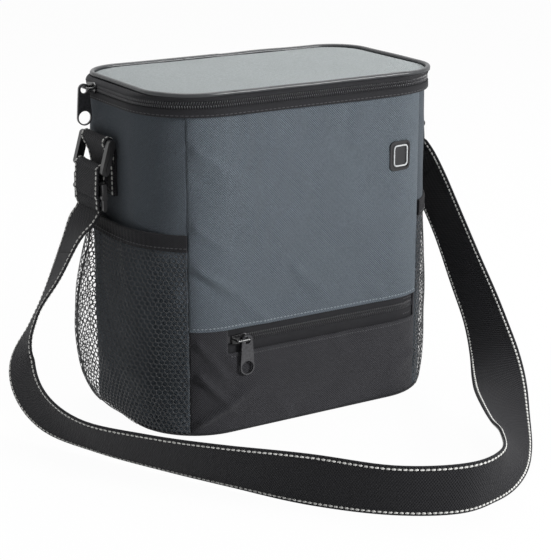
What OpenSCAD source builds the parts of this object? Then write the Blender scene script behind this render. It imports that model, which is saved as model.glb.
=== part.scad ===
// Insulated cooler bag with a zipped lid, a zipped front pocket, two mesh side
// pockets and an adjustable shoulder strap. Millimetres, +Z up, front face
// towards -Y, origin on the floor below the middle of the body.

/* [Body] */
// Width of the body, left to right
body_w = 236; // [224:1:300]
// Depth of the body, front to back
body_d = 136; // [128:1:190]
// Height from the floor to the top of the lid piping
bag_h = 245; // [238:1:320]
// Plan radius of the two front corners
front_r = 50; // [44:1:56]
// Plan radius of the two rear corners
rear_r = 32; // [28:1:40]
// In from the sides of the body to the corner seams
seam_in = 22; // [16:1:28]

/* [Fabric and lining] */
// Thickness of the outer fabric
fabric_t = 1; // [0.6:0.1:1.2]
// Thickness of the wall foam
foam_t = 6; // [5:0.5:8]
// Thickness of the welded inner lining
liner_t = 0.8; // [0.5:0.1:1.2]
// Gap between plies that are sewn together
ply_gap = 0.1; // [0.05:0.05:0.15]

/* [Lid and zip] */
// How much narrower the lid is than the body
lid_step = 4; // [2:0.5:8]
// Top of the piping down to the middle of the main zip
zip_drop = 8.4; // [8:0.2:10]
// Top of the piping down to the hem of the band under the zip
band_drop = 17; // [16:0.5:20]
// Diameter of the lid piping
piping_d = 3.6; // [3:0.2:4]
// Thickness of a zip tape
tape_t = 0.8; // [0.6:0.1:1]
// Height of one row of zip teeth
coil_h = 1.8; // [1.4:0.1:2.2]
// Space between the two rows of teeth, where the slider's web runs
coil_gap = 1.2; // [1:0.1:1.6]

/* [Front pocket] */
// Height of the black lower panel, up to the grey panel's edge
pocket_h = 77; // [74:1:90]
// Height of the folded edge under the pocket zip
fold_h = 59.5; // [56:0.5:60]
// In from the left side of the body to the pocket zip's left end
pocket_zip_left = 48; // [38:1:54]
// In from the right side of the body to its right end, round the corner
pocket_zip_right = 26; // [24:1:34]

/* [Bottle pockets] */
// Height of a mesh pocket to the top of its elastic
mesh_h = 147; // [120:1:149]
// Height of the elastic edge
elastic_h = 12; // [8:1:18]
// How far the mesh stands out at its fullest
mesh_bulge = 20; // [12:1:22]
// How far the elastic stands off the side at its middle
mesh_gape = 5; // [4.6:0.1:5.4]

/* [Strap and rings] */
// Width of the webbing
webbing_w = 38; // [30:1:40]
// Thickness of the webbing
webbing_t = 1.6; // [1.2:0.1:2]
// Distance of the webbing's middle behind the body's middle
anchor_y = 20; // [14:1:22]
// Top of the piping down to the bar that hangs in each sewn loop
ring_drop = 42.5; // [41:0.5:48]
// Distance between a ring's two bars
ring_pitch = 20; // [18:0.5:22]
// Outward tilt of the left ring
tilt_left = 16; // [12:1:24]
// Outward tilt of the right ring
tilt_right = 50; // [40:1:55]

/* [Pulls] */
// Distance between the eye and the finger ring of a zip pull
pull_pitch = 20; // [17:0.2:24]
// Radius of a pull's finger ring
pull_r = 5.6; // [5:0.1:6]

/* [Hidden] */
$fn = 48;

EPS = 0.01;                     // overlap that joins two shapes of one solid
FAR = 400;                      // larger than the bag, for cutting volumes
half_w = body_w / 2;
half_d = body_d / 2;
seam_x = half_w - seam_in;
pocket_zip_x0 = pocket_zip_left - half_w;
pocket_zip_x1 = half_w - pocket_zip_right;

// Layers, as distances out from the body's outline
foam_out = -fabric_t - ply_gap;
foam_in = foam_out - foam_t;
liner_out = foam_in - ply_gap;
liner_in = liner_out - liner_t;

// Heights
base_t = fabric_t + 0.2;
foam_base_z = base_t + ply_gap;
foam_base_t = 4;
liner_floor_z = foam_base_z + foam_base_t + ply_gap;
zip_z = bag_h - zip_drop;
band_z = bag_h - band_drop;
wall_top = band_z + 4;
binding_t = 1;
binding_w = 8;                  // folded width of a binding
tape_reach = 5;                 // sewn width of a tape, beyond its teeth

// The zip, as distances out from the body's outline
coil_t = 1.8;
main_depth = 1.3;               // middle of the main zip's tape
pocket_depth = -1.5;            // middle of the pocket zip's tape
zip_end_y = half_d - rear_r + 3;
stop_len = 1.6;
band_hem = 1.3;                 // folded hem of the band
band_out = 2.6;                 // outer face of the band
band_t = 0.8;

// Lid
lid_w = body_w - lid_step;
lid_d = body_d + 2 * band_out - 0.2;
lid_front_r = front_r - 10;
lid_rear_r = rear_r - 1;
piping_z = bag_h - piping_d / 2;
lid_panel_z = piping_z - 0.8;
lid_foam_t = 5;
lid_inset = piping_d + 1.2;     // lid foam and liner inside the lid's outline
hinge_y = half_d + band_out + 0.3;

// Slider, measured from the middle of the tape
slider_len = 13;
slider_w = 8;
slider_inner_w = 7.2;
blade_t = 0.9;
blade_out = 1.6;                // to the inner face of the outer blade
blade_in = 1.2;                 // to the outer face of the inner blade
web_t = 0.6;
web_len = 3;
crown_h = 4.7;                  // outer blade's face to the crown's bar
crown_r = 0.9;
crown_half = 4.5;
main_slider_y = zip_end_y - 7;
pocket_slider_x = pocket_zip_x0 + 9.5;
pocket_zip_z = (pocket_h + fold_h) / 2 + 1;

// Zip pull
pull_t = 1.6;
pull_eye_r = 4.2;
pull_eye_hole = 2.65;
pull_ring_hole = pull_r - 0.9;
pull_drop = pull_eye_hole - crown_r - 0.3;

// Rubber patch
patch_x = half_w - 45;
patch_z = bag_h - 60.5;
patch_w = 18.5;
patch_h = 21.5;
patch_r = 4;
patch_t = 1.5;
patch_rim = 0.6;

// Rings, loops and adjuster
ring_z = bag_h - ring_drop;
groove_w = 1;                   // groove along a rail's outer face
groove_t = 0.8;
groove_deep = 0.5;
bar_r = 2;
run_gap = 0.3;                  // between pieces that move on each other
loop_in = bar_r + run_gap;
loop_out = loop_in + webbing_t;
anchor_out = 6;                 // side of the body to the sewn loop's bar
anchor_ply = 2 * webbing_t;
anchor_drop = 38;               // sewn length below the bar
rail_t = 4.5;
rail_w = 5.5;
inner_w = webbing_w + 1;
adjuster_drop = 18;  
sewn_end = [3, -9];            // from the right ring's lower bar to the sewn end
adjuster_half = 10.5;
adjuster_t = 2.8;

// Strap: middle of the webbing, then the direction across it, from ring to ring
strap_route = [
    [143, 20, 178, 0, 1, 0], [144, 20, 174, 0, 1, 0], [145, 20, 170, 0, 1, 0],
    [146, 15, 162, -0.1, 0.9, -0.4], [147, 4, 152, -0.1, 0.7, -0.6],
    [147, -11, 137, -0.1, 0.7, -0.7], [145, -34, 114, -0.1, 0.7, -0.7],
    [141, -62, 86, -0.2, 0.7, -0.7], [135, -89, 64, -0.3, 0.6, -0.7],
    [124, -116, 47, -0.5, 0.6, -0.6], [109, -144, 35, -0.8, 0.5, -0.3],
    [90, -175, 26, -0.8, 0.4, 0.2], [69, -209, 20, -0.7, 0.4, 0.6],
    [46, -239, 20, -0.3, 0.3, 0.9], [18, -261, 20, 0, -0.1, 1], [-14, -266, 20, 0, -0.2, 1],
    [-53, -246, 20, -0.1, -0.2, 1], [-88, -206, 20, -0.1, -0.1, 1],
    [-122, -161, 20, -0.3, -0.2, 0.9], [-151, -114, 19, -0.5, -0.2, 0.9],
    [-178, -65, 20, -0.4, -0.4, 0.8], [-193, -21, 29, 0, -0.6, 0.8],
    [-194, 6, 51, 0.2, -0.7, 0.7], [-181, 12, 80, 0, -0.7, 0.7],
    [-163, 14, 108, -0.1, -0.9, 0.4], [-148, 18, 132, -0.1, -1, 0.2],
    [-138, 20, 145, 0, -1, 0], [-134, 20, 150, 0, -1, 0], [-131.5, 20, 154, 0, -1, 0]
];
STRAP_STEPS = 3;

// ---- outlines and walls ----------------------------------------------------

// Rounded rectangle with its own front and rear corner radii
module rounded(w, d, rf, rr) {
    x = w / 2;
    y = d / 2;
    polygon([[-x + rf, -y], [x - rf, -y], [x, -y + rf], [x, y - rr],
        [x - rr, y], [-x + rr, y], [-x, y - rr], [-x, -y + rf]]);
    for (s = [-1, 1]) {
        translate([s * (x - rf), -y + rf]) circle(rf);
        translate([s * (x - rr), y - rr]) circle(rr);
    }
}

// The body's outline, moved outward by grow
module outline(grow) {
    rounded(body_w + 2 * grow, body_d + 2 * grow, front_r + grow, rear_r + grow);
}

// The lid's outline at its piping, moved outward by grow
module lid_outline(grow) {
    rounded(lid_w + 2 * grow, lid_d + 2 * grow, lid_front_r + grow, lid_rear_r + grow);
}

module ring_wall(out, in, z0, z1) {
    translate([0, 0, z0]) linear_extrude(z1 - z0) difference() {
        outline(out);
        outline(in);
    }
}

// What of a wall lies in front of, behind or beside the corner seams
module front_part() intersection() {
    children();
    translate([-seam_x + ply_gap, -FAR, -FAR]) cube([2 * (seam_x - ply_gap), FAR, 2 * FAR]);
}
module back_part() intersection() {
    children();
    translate([-seam_x + ply_gap, 0, -FAR]) cube([2 * (seam_x - ply_gap), FAR, 2 * FAR]);
}
module side_part(side) intersection() {
    children();
    translate([side > 0 ? seam_x : -seam_x - FAR, -FAR, -FAR]) cube([FAR, 2 * FAR, 2 * FAR]);
}

// A block across the front between two widths and two heights
module front_block(x0, x1, z0, z1) {
    translate([x0, -FAR, z0]) cube([x1 - x0, FAR, z1 - z0]);
}

// What of a wall lies behind the ends of the main zip, or ahead of them
module hinge_part() intersection() {
    children();
    translate([-FAR, zip_end_y + stop_len + ply_gap, 0]) cube([2 * FAR, FAR, FAR]);
}
module zip_part() difference() {
    children();
    translate([-FAR, zip_end_y, 0]) cube([2 * FAR, FAR, FAR]);
}

// ---- solids through rings of points ----------------------------------------

// Closed solid through a list of loops with equal, even point counts. Its ends
// are closed by strips from each loop's first half to its second.
module skin(loops, closed = false) {
    n = len(loops[0]);
    m = len(loops);
    last = closed ? m - 1 : m - 2;
    points = [for (loop = loops) each loop];
    sides = [for (i = [0:last]) for (j = [0:n - 1])
        let (k = (i + 1) % m, l = (j + 1) % n)
        each [[i * n + j, i * n + l, k * n + l], [i * n + j, k * n + l, k * n + j]]];
    ends = closed ? [] : [for (j = [0:n / 2 - 2])
        let (k = n - 1 - j, z = (m - 1) * n)
        each [[j + 1, j, k], [k - 1, j + 1, k], [z + j, z + j + 1, z + k],
            [z + j + 1, z + k - 1, z + k]]];
    polyhedron(points, concat(sides, ends), convexity = 6);
}

// Points of a rounded rectangle, turning left, at height z
function outline_points(w, d, rf, rr, z, steps = 10) = [
    for (c = [[1, -1, rf, -90], [1, 1, rr, 0], [-1, 1, rr, 90], [-1, -1, rf, 180]])
        for (i = [0:steps])
            let (a = c[3] + 90 * i / steps)
            [c[0] * (w / 2 - c[2]) + c[2] * cos(a), c[1] * (d / 2 - c[2]) + c[2] * sin(a), z]];

// ---- mesh pockets ----------------------------------------------------------

FRONT_STEPS = 8;
SIDE_STEPS = 6;
REAR_STEPS = 7;
side_a0 = asin((seam_x - half_w + front_r) / front_r);
side_a1 = asin((seam_x - half_w + rear_r) / rear_r);
side_y0 = -half_d + front_r;
side_y1 = half_d - rear_r;

// Points, outward normals and distance run along the right side, from seam to seam
side_run = [front_r * (90 - side_a0), side_y1 - side_y0, rear_r * (90 - side_a1)];
front_run = side_run[0] * PI / 180;
rear_run = side_run[2] * PI / 180;
side_stations = concat(
    [for (i = [0:FRONT_STEPS])
        let (a = side_a0 + 1 + (89 - side_a0) * i / FRONT_STEPS)
        [half_w - front_r + front_r * sin(a), side_y0 - front_r * cos(a), sin(a), -cos(a),
            front_run * i / FRONT_STEPS]],
    [for (i = [1:SIDE_STEPS - 1])
        [half_w, side_y0 + side_run[1] * i / SIDE_STEPS, 1, 0,
            front_run + side_run[1] * i / SIDE_STEPS]],
    [for (i = [0:REAR_STEPS])
        let (a = 90 - (89 - side_a1) * i / REAR_STEPS)
        [half_w - rear_r + rear_r * sin(a), side_y1 + rear_r * cos(a), sin(a), cos(a),
            front_run + side_run[1] + rear_run * i / REAR_STEPS]]);
side_total = front_run + side_run[1] + rear_run;

// How far the pocket stands off the side at share u of the way back and height z. It blouses
// most behind the middle, and is gathered in under its elastic.
function pocket_off(u, z) = let (level = min(1, z / (mesh_h - elastic_h + 4))) 0.3
    + mesh_bulge * sin(180 * pow(u, 1.6)) * pow(sin(180 * pow(level, 0.8)), 0.8)
    + mesh_gape * pow(sin(180 * u), 2) * pow(z / mesh_h, 4);

// Sheet of thickness t over the side, through the given heights
module side_sheet(levels, t) {
    last = len(side_stations) - 1;
    top = len(levels) - 1;
    skin([for (i = [0:last])
        let (s = side_stations[i], u = s[4] / side_total)
        [for (j = [0:2 * top + 1])
            let (z = levels[j <= top ? j : 2 * top + 1 - j])
            let (off = pocket_off(u, z) + (j <= top ? t : 0))
            [s[0] + s[2] * off, s[1] + s[3] * off, z]]]);
}

module mesh_pocket() {
    net_top = mesh_h - elastic_h - ply_gap;
    levels = [for (i = [0:9]) base_t + ply_gap + (net_top - base_t - ply_gap) * pow(i / 9, 1.2)];
    color("#2c3238") side_sheet(levels, 0.7);
}

module mesh_band() {
    color("#2a2a2d") side_sheet([mesh_h - elastic_h, mesh_h], 1.4);
}

// ---- body ------------------------------------------------------------------

module base_panel() color("#2b2b2e") linear_extrude(base_t) outline(0);

module front_panel() color("#5a636c") front_part()
    ring_wall(0, -fabric_t, pocket_h, wall_top);

module pocket_panel() color("#323236") difference() {
    front_part() ring_wall(0, -fabric_t, base_t, pocket_h - ply_gap);
    front_block(pocket_zip_x0, pocket_zip_x1, fold_h, pocket_h);
}

backing_out = pocket_depth - blade_in - blade_t - run_gap;
backing_in = backing_out - 0.6;
pocket_top = pocket_h + 6;

module pocket_backing() color("#2b2b2e") front_part()
    ring_wall(backing_out, backing_in, base_t, pocket_top - ply_gap);

module side_panel(side) color("#4c555e") side_part(side)
    ring_wall(0, -fabric_t, base_t, wall_top);

module back_panel() color("#4c555e") back_part()
    ring_wall(0, -fabric_t, base_t, wall_top);

module foam_ring() ring_wall(foam_out, foam_in, foam_base_z, wall_top - ply_gap);

module foam_front() color("#d8d8d2") difference() {
    front_part() foam_ring();
    ring_wall(foam_out + EPS, backing_in - ply_gap, 0, pocket_top);
}
module foam_back() color("#d8d8d2") back_part() foam_ring();
module foam_side(side) color("#d8d8d2") side_part(side) foam_ring();
module foam_base() color("#d8d8d2") translate([0, 0, foam_base_z])
    linear_extrude(foam_base_t) outline(foam_in - ply_gap);

module liner_tub() color("#b9bec2") {
    ring_wall(liner_out, liner_in, liner_floor_z, wall_top - ply_gap);
    translate([0, 0, liner_floor_z]) linear_extrude(liner_t) outline(liner_out - EPS);
}

// Tape folded over the edge of foam and lining
module mouth_binding() color("#2a2a2d") {
    ring_wall(-binding_t / 2, liner_in - binding_t, wall_top, wall_top + binding_t);
    ring_wall(liner_in - ply_gap, liner_in - binding_t, wall_top - binding_w, wall_top + EPS);
}

// ---- zips ------------------------------------------------------------------

module lower_band() color("#2a2a2d") {
    ring_wall(band_out, ply_gap, band_z, band_z + band_hem);
    ring_wall(band_out, band_out - band_t, band_z, zip_z - coil_gap / 2 - coil_h - 0.6);
}

lower_coil_z = zip_z - coil_gap / 2 - coil_h;
upper_coil_z = zip_z + coil_gap / 2;

module lower_zip_tape() color("#232326") zip_part()
    ring_wall(main_depth + tape_t / 2, main_depth - tape_t / 2,
        band_z + band_hem + ply_gap, lower_coil_z);
module lower_zip_coil() color("#1c1c1f") zip_part()
    ring_wall(main_depth + coil_t / 2, main_depth - coil_t / 2,
        lower_coil_z, lower_coil_z + coil_h);

// Bar tacks that close both ends of the zip
module main_zip_stops() color("#1c1c1f") intersection() {
    ring_wall(main_depth + coil_t / 2, main_depth - coil_t / 2,
        lower_coil_z, zip_z - 0.3);
    translate([-FAR, zip_end_y + ply_gap / 2, 0]) cube([2 * FAR, stop_len, FAR]);
}

// Fabric behind the ends of the zip, on which the lid folds
module hinge_strip() color("#2a2a2d") hinge_part()
    ring_wall(main_depth + tape_t / 2, main_depth - tape_t / 2,
        band_z + band_hem + ply_gap, zip_z - 0.3);

module upper_zip_coil() color("#1c1c1f") zip_part()
    ring_wall(main_depth + coil_t / 2, main_depth - coil_t / 2,
        upper_coil_z, upper_coil_z + coil_h);
module upper_zip_tape() color("#232326") zip_part()
    ring_wall(main_depth + tape_t / 2, main_depth - tape_t / 2,
        upper_coil_z + coil_h, upper_band_z - ply_gap);

// The pocket zip's rows run along the front and round the right corner
module pocket_strip(out, in, x0, x1, z0, z1) intersection() {
    ring_wall(out, in, z0, z1);
    front_block(x0, x1, z0 - 1, z1 + 1);
}
module pocket_tape(z0, z1) color("#232326")
    pocket_strip(pocket_depth + tape_t / 2, pocket_depth - tape_t / 2,
        pocket_zip_x0 - 4, pocket_zip_x1 + 2, z0, z1);
module pocket_coil(z0) color("#1c1c1f")
    pocket_strip(pocket_depth + coil_t / 2, pocket_depth - coil_t / 2,
        pocket_zip_x0 + 2, pocket_zip_x1 - 2, z0, z0 + coil_h);
pocket_lower_z = pocket_zip_z - coil_gap / 2 - coil_h;
pocket_upper_z = pocket_zip_z + coil_gap / 2;
module pocket_tape_lower() pocket_tape(pocket_lower_z - tape_reach - 2, pocket_lower_z);
module pocket_tape_upper()
    pocket_tape(pocket_upper_z + coil_h, pocket_upper_z + coil_h + tape_reach + 2);
module pocket_coil_lower() pocket_coil(pocket_lower_z);
module pocket_coil_upper() pocket_coil(pocket_upper_z);
module pocket_zip_stops() color("#1c1c1f")
    for (x = [pocket_zip_x0 + 0.3, pocket_zip_x1 - 1.9])
        pocket_strip(pocket_depth + coil_t / 2, pocket_depth - coil_t / 2, x, x + stop_len,
            pocket_lower_z, pocket_upper_z + coil_h);

// Slider on a tape: +X along the zip, +Z out of the fabric, +Y across
module slider() color("#202023") {
    translate([0, 0, blade_out]) linear_extrude(blade_t) blade(slider_w);
    translate([0, 0, -blade_in - blade_t]) linear_extrude(blade_t) blade(slider_inner_w);
    translate([slider_len / 2 - web_len - 1, -web_t / 2, -blade_in - EPS])
        cube([web_len, web_t, blade_in + blade_out + 2 * EPS]);
    crown_z = blade_out + blade_t + crown_h;
    for (s = [-1, 1]) {
        translate([s * crown_half, 0, blade_out + blade_t - EPS])
            cylinder(r = crown_r, h = crown_h + EPS);
        translate([s * crown_half, 0, crown_z]) sphere(crown_r);
    }
    translate([-crown_half, 0, crown_z]) rotate([0, 90, 0])
        cylinder(r = crown_r, h = 2 * crown_half);
}

// Shield-shaped plate of the slider, round at its nose
module blade(w) {
    translate([slider_len / 2 - w / 2, 0]) circle(w / 2);
    polygon([[slider_len / 2 - w / 2, -w / 2], [slider_len / 2 - w / 2, w / 2],
        [-slider_len / 2, w / 2 - 1], [-slider_len / 2, -w / 2 + 1]]);
}

// Pull with its eye at the origin, hanging along -Y
module pull_plate() color("#26262a") translate([0, 0, -pull_t / 2]) linear_extrude(pull_t)
    difference() {
        union() {
            circle(pull_eye_r);
            translate([0, -pull_pitch]) circle(pull_r);
            // sides tangent to the eye and to the ring
            lean = asin((pull_r - pull_eye_r) / pull_pitch);
            polygon([[-pull_eye_r * cos(lean), pull_eye_r * sin(lean)],
                [-pull_r * cos(lean), -pull_pitch + pull_r * sin(lean)],
                [pull_r * cos(lean), -pull_pitch + pull_r * sin(lean)],
                [pull_eye_r * cos(lean), pull_eye_r * sin(lean)]]);
        }
        circle(pull_eye_hole);
        translate([0, -pull_pitch]) circle(pull_ring_hole);
    }

crown_out = blade_out + blade_t + crown_h;
main_bar_x = -half_w - main_depth - crown_out;

module main_zip_slider() translate([-half_w - main_depth, main_slider_y, zip_z])
    rotate([90, 0, -90]) slider();

module main_zip_pull()
    translate([main_bar_x, main_slider_y + crown_half - crown_r - pull_t / 2 - 0.3, zip_z - pull_drop])
        rotate([90, 0, 0]) pull_plate();

module pocket_zip_slider() translate([pocket_slider_x, -half_d - pocket_depth, pocket_zip_z])
    rotate([90, 0, 0]) slider();

module pocket_zip_pull() translate([pocket_slider_x + crown_half,
        -half_d - pocket_depth - blade_out - blade_t - 0.4 - pull_t / 2, pocket_zip_z - pull_drop])
    rotate([90, 0, 0]) pull_plate();

// ---- patch -----------------------------------------------------------------

module patch_prism(inset) {
    r = patch_r - inset;
    x = patch_w / 2 - inset;
    z = patch_h / 2 - inset;
    translate([patch_x, 0, patch_z]) rotate([90, 0, 0]) linear_extrude(FAR) {
        for (s = [-1, 1]) for (t = [-1, 1])
            translate([s * (x - r), t * (z - r)]) circle(r);
        square([2 * x, 2 * (z - r)], center = true);
        square([2 * (x - r), 2 * z], center = true);
    }
}

module rubber_patch() color("#1d1d20") difference() {
    intersection() {
        ring_wall(ply_gap + patch_t, ply_gap, patch_z - patch_h, patch_z + patch_h);
        patch_prism(0);
    }
    difference() {
        ring_wall(ply_gap + patch_t + 1, ply_gap + patch_t - patch_rim,
            patch_z - patch_h, patch_z + patch_h);
        difference() {
            patch_prism(-1);
            patch_prism(1.6);
        }
    }
}

// ---- lid -------------------------------------------------------------------

module lid_panel() color("#8f999b") translate([0, 0, lid_panel_z])
    linear_extrude(fabric_t) lid_outline(-piping_d - ply_gap);
module lid_foam() color("#d8d8d2") translate([0, 0, lid_panel_z - ply_gap - lid_foam_t])
    linear_extrude(lid_foam_t) lid_outline(-lid_inset);
lid_liner_z = lid_panel_z - 2 * ply_gap - lid_foam_t - liner_t;
module lid_liner() color("#b9bec2") translate([0, 0, lid_liner_z])
    linear_extrude(liner_t) lid_outline(-lid_inset);
module lid_binding() color("#2a2a2d") translate([0, 0, lid_liner_z - 0.9])
    linear_extrude(0.8) difference() {
        lid_outline(-lid_inset);
        lid_outline(-lid_inset - binding_w);
    }

// Cord-filled tube sewn round the edge of the lid
module lid_piping() color("#2a2a2d") {
    x = (lid_w - piping_d) / 2;
    y = (lid_d - piping_d) / 2;
    rf = lid_front_r - piping_d / 2;
    rr = lid_rear_r - piping_d / 2;
    r = piping_d / 2;
    for (c = [[-1, -1, rf, 180], [1, -1, rf, 270], [1, 1, rr, 0], [-1, 1, rr, 90]])
        translate([c[0] * (x - c[2]), c[1] * (y - c[2]), piping_z]) rotate([0, 0, c[3]])
            rotate_extrude(angle = 90) translate([c[2], 0]) circle(r);
    translate([-x + rf, -y, piping_z]) rotate([0, 90, 0]) cylinder(r = r, h = 2 * (x - rf));
    translate([-x + rr, y, piping_z]) rotate([0, 90, 0]) cylinder(r = r, h = 2 * (x - rr));
    for (s = [-1, 1])
        translate([s * x, -y + rf, piping_z]) rotate([-90, 0, 0])
            cylinder(r = r, h = 2 * y - rf - rr);
}

// Side of the lid, from the zip up and in to the piping
upper_band_z = upper_coil_z + coil_h + 0.6;
function body_loop(grow, z) = outline_points(body_w + 2 * grow, body_d + 2 * grow,
    front_r + grow, rear_r + grow, z);
function lid_loop(grow, z) = outline_points(lid_w + 2 * grow, lid_d + 2 * grow,
    lid_front_r + grow, lid_rear_r + grow, z);
module upper_band() color("#2a2a2d") {
    top = piping_z - piping_d / 2 - ply_gap;
    in = band_out - band_t;
    skin([body_loop(band_out, upper_band_z), lid_loop(0, top), lid_loop(-band_t, top),
        body_loop(in, upper_band_z)], closed = true);
}

// Rear edge of the lid, which folds on the hinge strip
module hinge_flap() color("#2a2a2d") hinge_part()
    ring_wall(band_out, band_out - band_t, zip_z + 0.3, upper_band_z - ply_gap);

// ---- webbing, rings and adjuster -------------------------------------------

ARC_STEPS = 12;

// Along Y, centred on the anchors, at a point of the XZ plane
module across(x, z, width) translate([x, anchor_y + width / 2, z]) rotate([90, 0, 0])
    linear_extrude(width) children();

// Sewn tab on the right: two plies on the side panel, open round the ring's bar
module anchor_tab() color("#222225") across(half_w, ring_z, webbing_w) difference() {
    lean = 30;
    reach = (anchor_out + loop_out * cos(lean) - anchor_ply - ply_gap) / sin(lean);
    polygon(concat(
        [[ply_gap, -anchor_drop], [ply_gap + anchor_ply, -anchor_drop],
            [ply_gap + anchor_ply, -loop_out * sin(lean) - reach * cos(lean)]],
        [for (i = [0:ARC_STEPS]) let (t = -lean + (135 + lean) * i / ARC_STEPS)
            [anchor_out + loop_out * cos(t), loop_out * sin(t)]],
        [[ply_gap, loop_out * sin(45) - anchor_out + loop_out * cos(45) + ply_gap]]));
    translate([anchor_out, 0]) circle(loop_in);
}

function bar_at(tilt) = [half_w + anchor_out + ring_pitch * sin(tilt),
    ring_z - ring_pitch * cos(tilt)];

// Moulded ring: two bars and two rails, hung on the sewn tab and tilted out
module ring(tilt) color("#1f1f22") translate([half_w + anchor_out, anchor_y, ring_z])
    rotate([0, -tilt, 0]) {
        for (z = [0, -ring_pitch])
            translate([0, -inner_w / 2 - EPS, z]) rotate([-90, 0, 0])
                cylinder(r = bar_r, h = inner_w + 2 * EPS);
        for (s = [-1, 1]) difference() {
            translate([0, s * (inner_w + rail_t) / 2, 0]) rail();
            // groove along the outer face of the rail
            translate([-groove_t / 2, s * (inner_w / 2 + rail_t) - groove_deep, -ring_pitch])
                cube([groove_t, groove_w, ring_pitch]);
        }
    }

module rail() translate([0, rail_t / 2, 0]) rotate([90, 0, 0]) linear_extrude(rail_t) {
    circle(rail_w / 2);
    translate([0, -ring_pitch]) circle(rail_w / 2);
    translate([-rail_w / 2, -ring_pitch]) square([rail_w, ring_pitch]);
}

// Outline of a belt round two bars at a and b, of radius ra and rb
module belt_shape(a, b, ra, rb) {
    d = b - a;
    heading = atan2(d[1], d[0]);
    lean = acos((ra - rb) / norm(d));
    polygon(concat(
        [for (i = [0:ARC_STEPS]) let (t = heading + lean + (360 - 2 * lean) * i / ARC_STEPS)
            a + ra * [cos(t), sin(t)]],
        [for (i = [0:ARC_STEPS]) let (t = heading - lean + 2 * lean * i / ARC_STEPS)
            b + rb * [cos(t), sin(t)]]));
}

adjuster_at = bar_at(tilt_left) + [1, -adjuster_drop];

module strap_loop_left() color("#222225") mirror([1, 0, 0]) across(0, 0, webbing_w)
    difference() {
        belt_shape(bar_at(tilt_left), adjuster_at, loop_out, loop_out);
        belt_shape(bar_at(tilt_left), adjuster_at, loop_in, loop_in);
    }

// Three-bar slide that sets the strap's length
module strap_adjuster() color("#1f1f22") mirror([1, 0, 0])
    translate([adjuster_at[0], anchor_y, adjuster_at[1]]) {
        rotate([90, 0, 0]) cylinder(r = bar_r, h = inner_w + 2 * EPS, center = true);
        for (z = [-1, 1])
            translate([-adjuster_t / 2, -inner_w / 2 - EPS, z * (adjuster_half - 1.2) - 1.2])
                cube([adjuster_t, inner_w + 2 * EPS, 2.4]);
        for (s = [-1, 1]) translate([0, s * (inner_w + rail_t) / 2 + rail_t / 2, 0])
            rotate([90, 0, 0]) linear_extrude(rail_t) {
                square([adjuster_t, 2 * adjuster_half - 4], center = true);
                circle(bar_r + 0.4);
                for (z = [-1, 1]) translate([0, z * (adjuster_half - 2)]) circle(adjuster_t / 2);
            }
    }

// End of the strap sewn round the right ring's lower bar
module strap_loop_right() color("#222225") {
    bar = bar_at(tilt_right);
    sewn = bar + sewn_end;
    across(0, 0, webbing_w) difference() {
        belt_shape(bar, sewn, loop_out, webbing_t);
        translate(bar) circle(loop_in);
    }
}

function unit(v) = v / norm(v);
function middle(row) = [row[0], row[1], row[2]];
function spline(a, b, c, d, t) = (2 * b + (c - a) * t + (2 * a - 5 * b + 4 * c - d) * t * t
    + (3 * b - a - 3 * c + d) * t * t * t) / 2;

// Free run of the strap, swept along its route
module shoulder_strap() color("#1f1f22") {
    last = len(strap_route) - 1;
    route = [for (i = [0:last - 1]) for (j = [0:STRAP_STEPS - 1])
        let (a = strap_route[max(i - 1, 0)], b = strap_route[i])
        let (c = strap_route[i + 1], d = strap_route[min(i + 2, last)])
        spline(a, b, c, d, j / STRAP_STEPS)];
    rows = concat(route, [strap_route[last]]);
    end = len(rows) - 1;
    skin([for (i = [0:end])
        let (m = middle(rows[i]))
        let (along = unit(middle(rows[min(i + 1, end)]) - middle(rows[max(i - 1, 0)])))
        let (wide = [rows[i][3], rows[i][4], rows[i][5]])
        let (w = unit(wide - along * (wide * along)) * webbing_w / 2)
        let (t = cross(along, unit(w)) * webbing_t / 2)
        [m - w - t, m + w - t, m + w + t, m - w + t]]);
}

// ---- the assembly ----------------------------------------------------------

base_panel();
front_panel();
pocket_panel();
pocket_backing();
side_panel(-1);  // side_panel_left
side_panel(1);  // side_panel_right
back_panel();
foam_front();
foam_back();
foam_side(-1);  // foam_left
foam_side(1);  // foam_right
foam_base();
liner_tub();
mouth_binding();
lower_band();
lower_zip_tape();
lower_zip_coil();
main_zip_stops();
hinge_strip();
pocket_tape_upper();
pocket_tape_lower();
pocket_coil_upper();
pocket_coil_lower();
pocket_zip_stops();
mirror([1, 0, 0]) mesh_pocket();  // mesh_pocket_left
mesh_pocket();  // mesh_pocket_right
mirror([1, 0, 0]) mesh_band();  // mesh_band_left
mesh_band();  // mesh_band_right
mirror([1, 0, 0]) anchor_tab();  // anchor_tab_left
anchor_tab();  // anchor_tab_right
rubber_patch();
shoulder_strap();
lid_panel();
lid_foam();
lid_liner();
lid_binding();
lid_piping();
upper_band();
hinge_flap();
upper_zip_tape();
upper_zip_coil();
main_zip_slider();
main_zip_pull();
pocket_zip_slider();
pocket_zip_pull();
mirror([1, 0, 0]) ring(tilt_left);  // ring_left
strap_loop_left();
strap_adjuster();
ring(tilt_right);  // ring_right
strap_loop_right();
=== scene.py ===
"""Insulated cooler bag: sews its visible cloth, zips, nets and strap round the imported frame.

Lengths inside the script are millimetres. They turn to metres where a mesh is made.
"""
import math

import bmesh
import bpy
import numpy as np
from mathutils import Matrix, Vector


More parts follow.
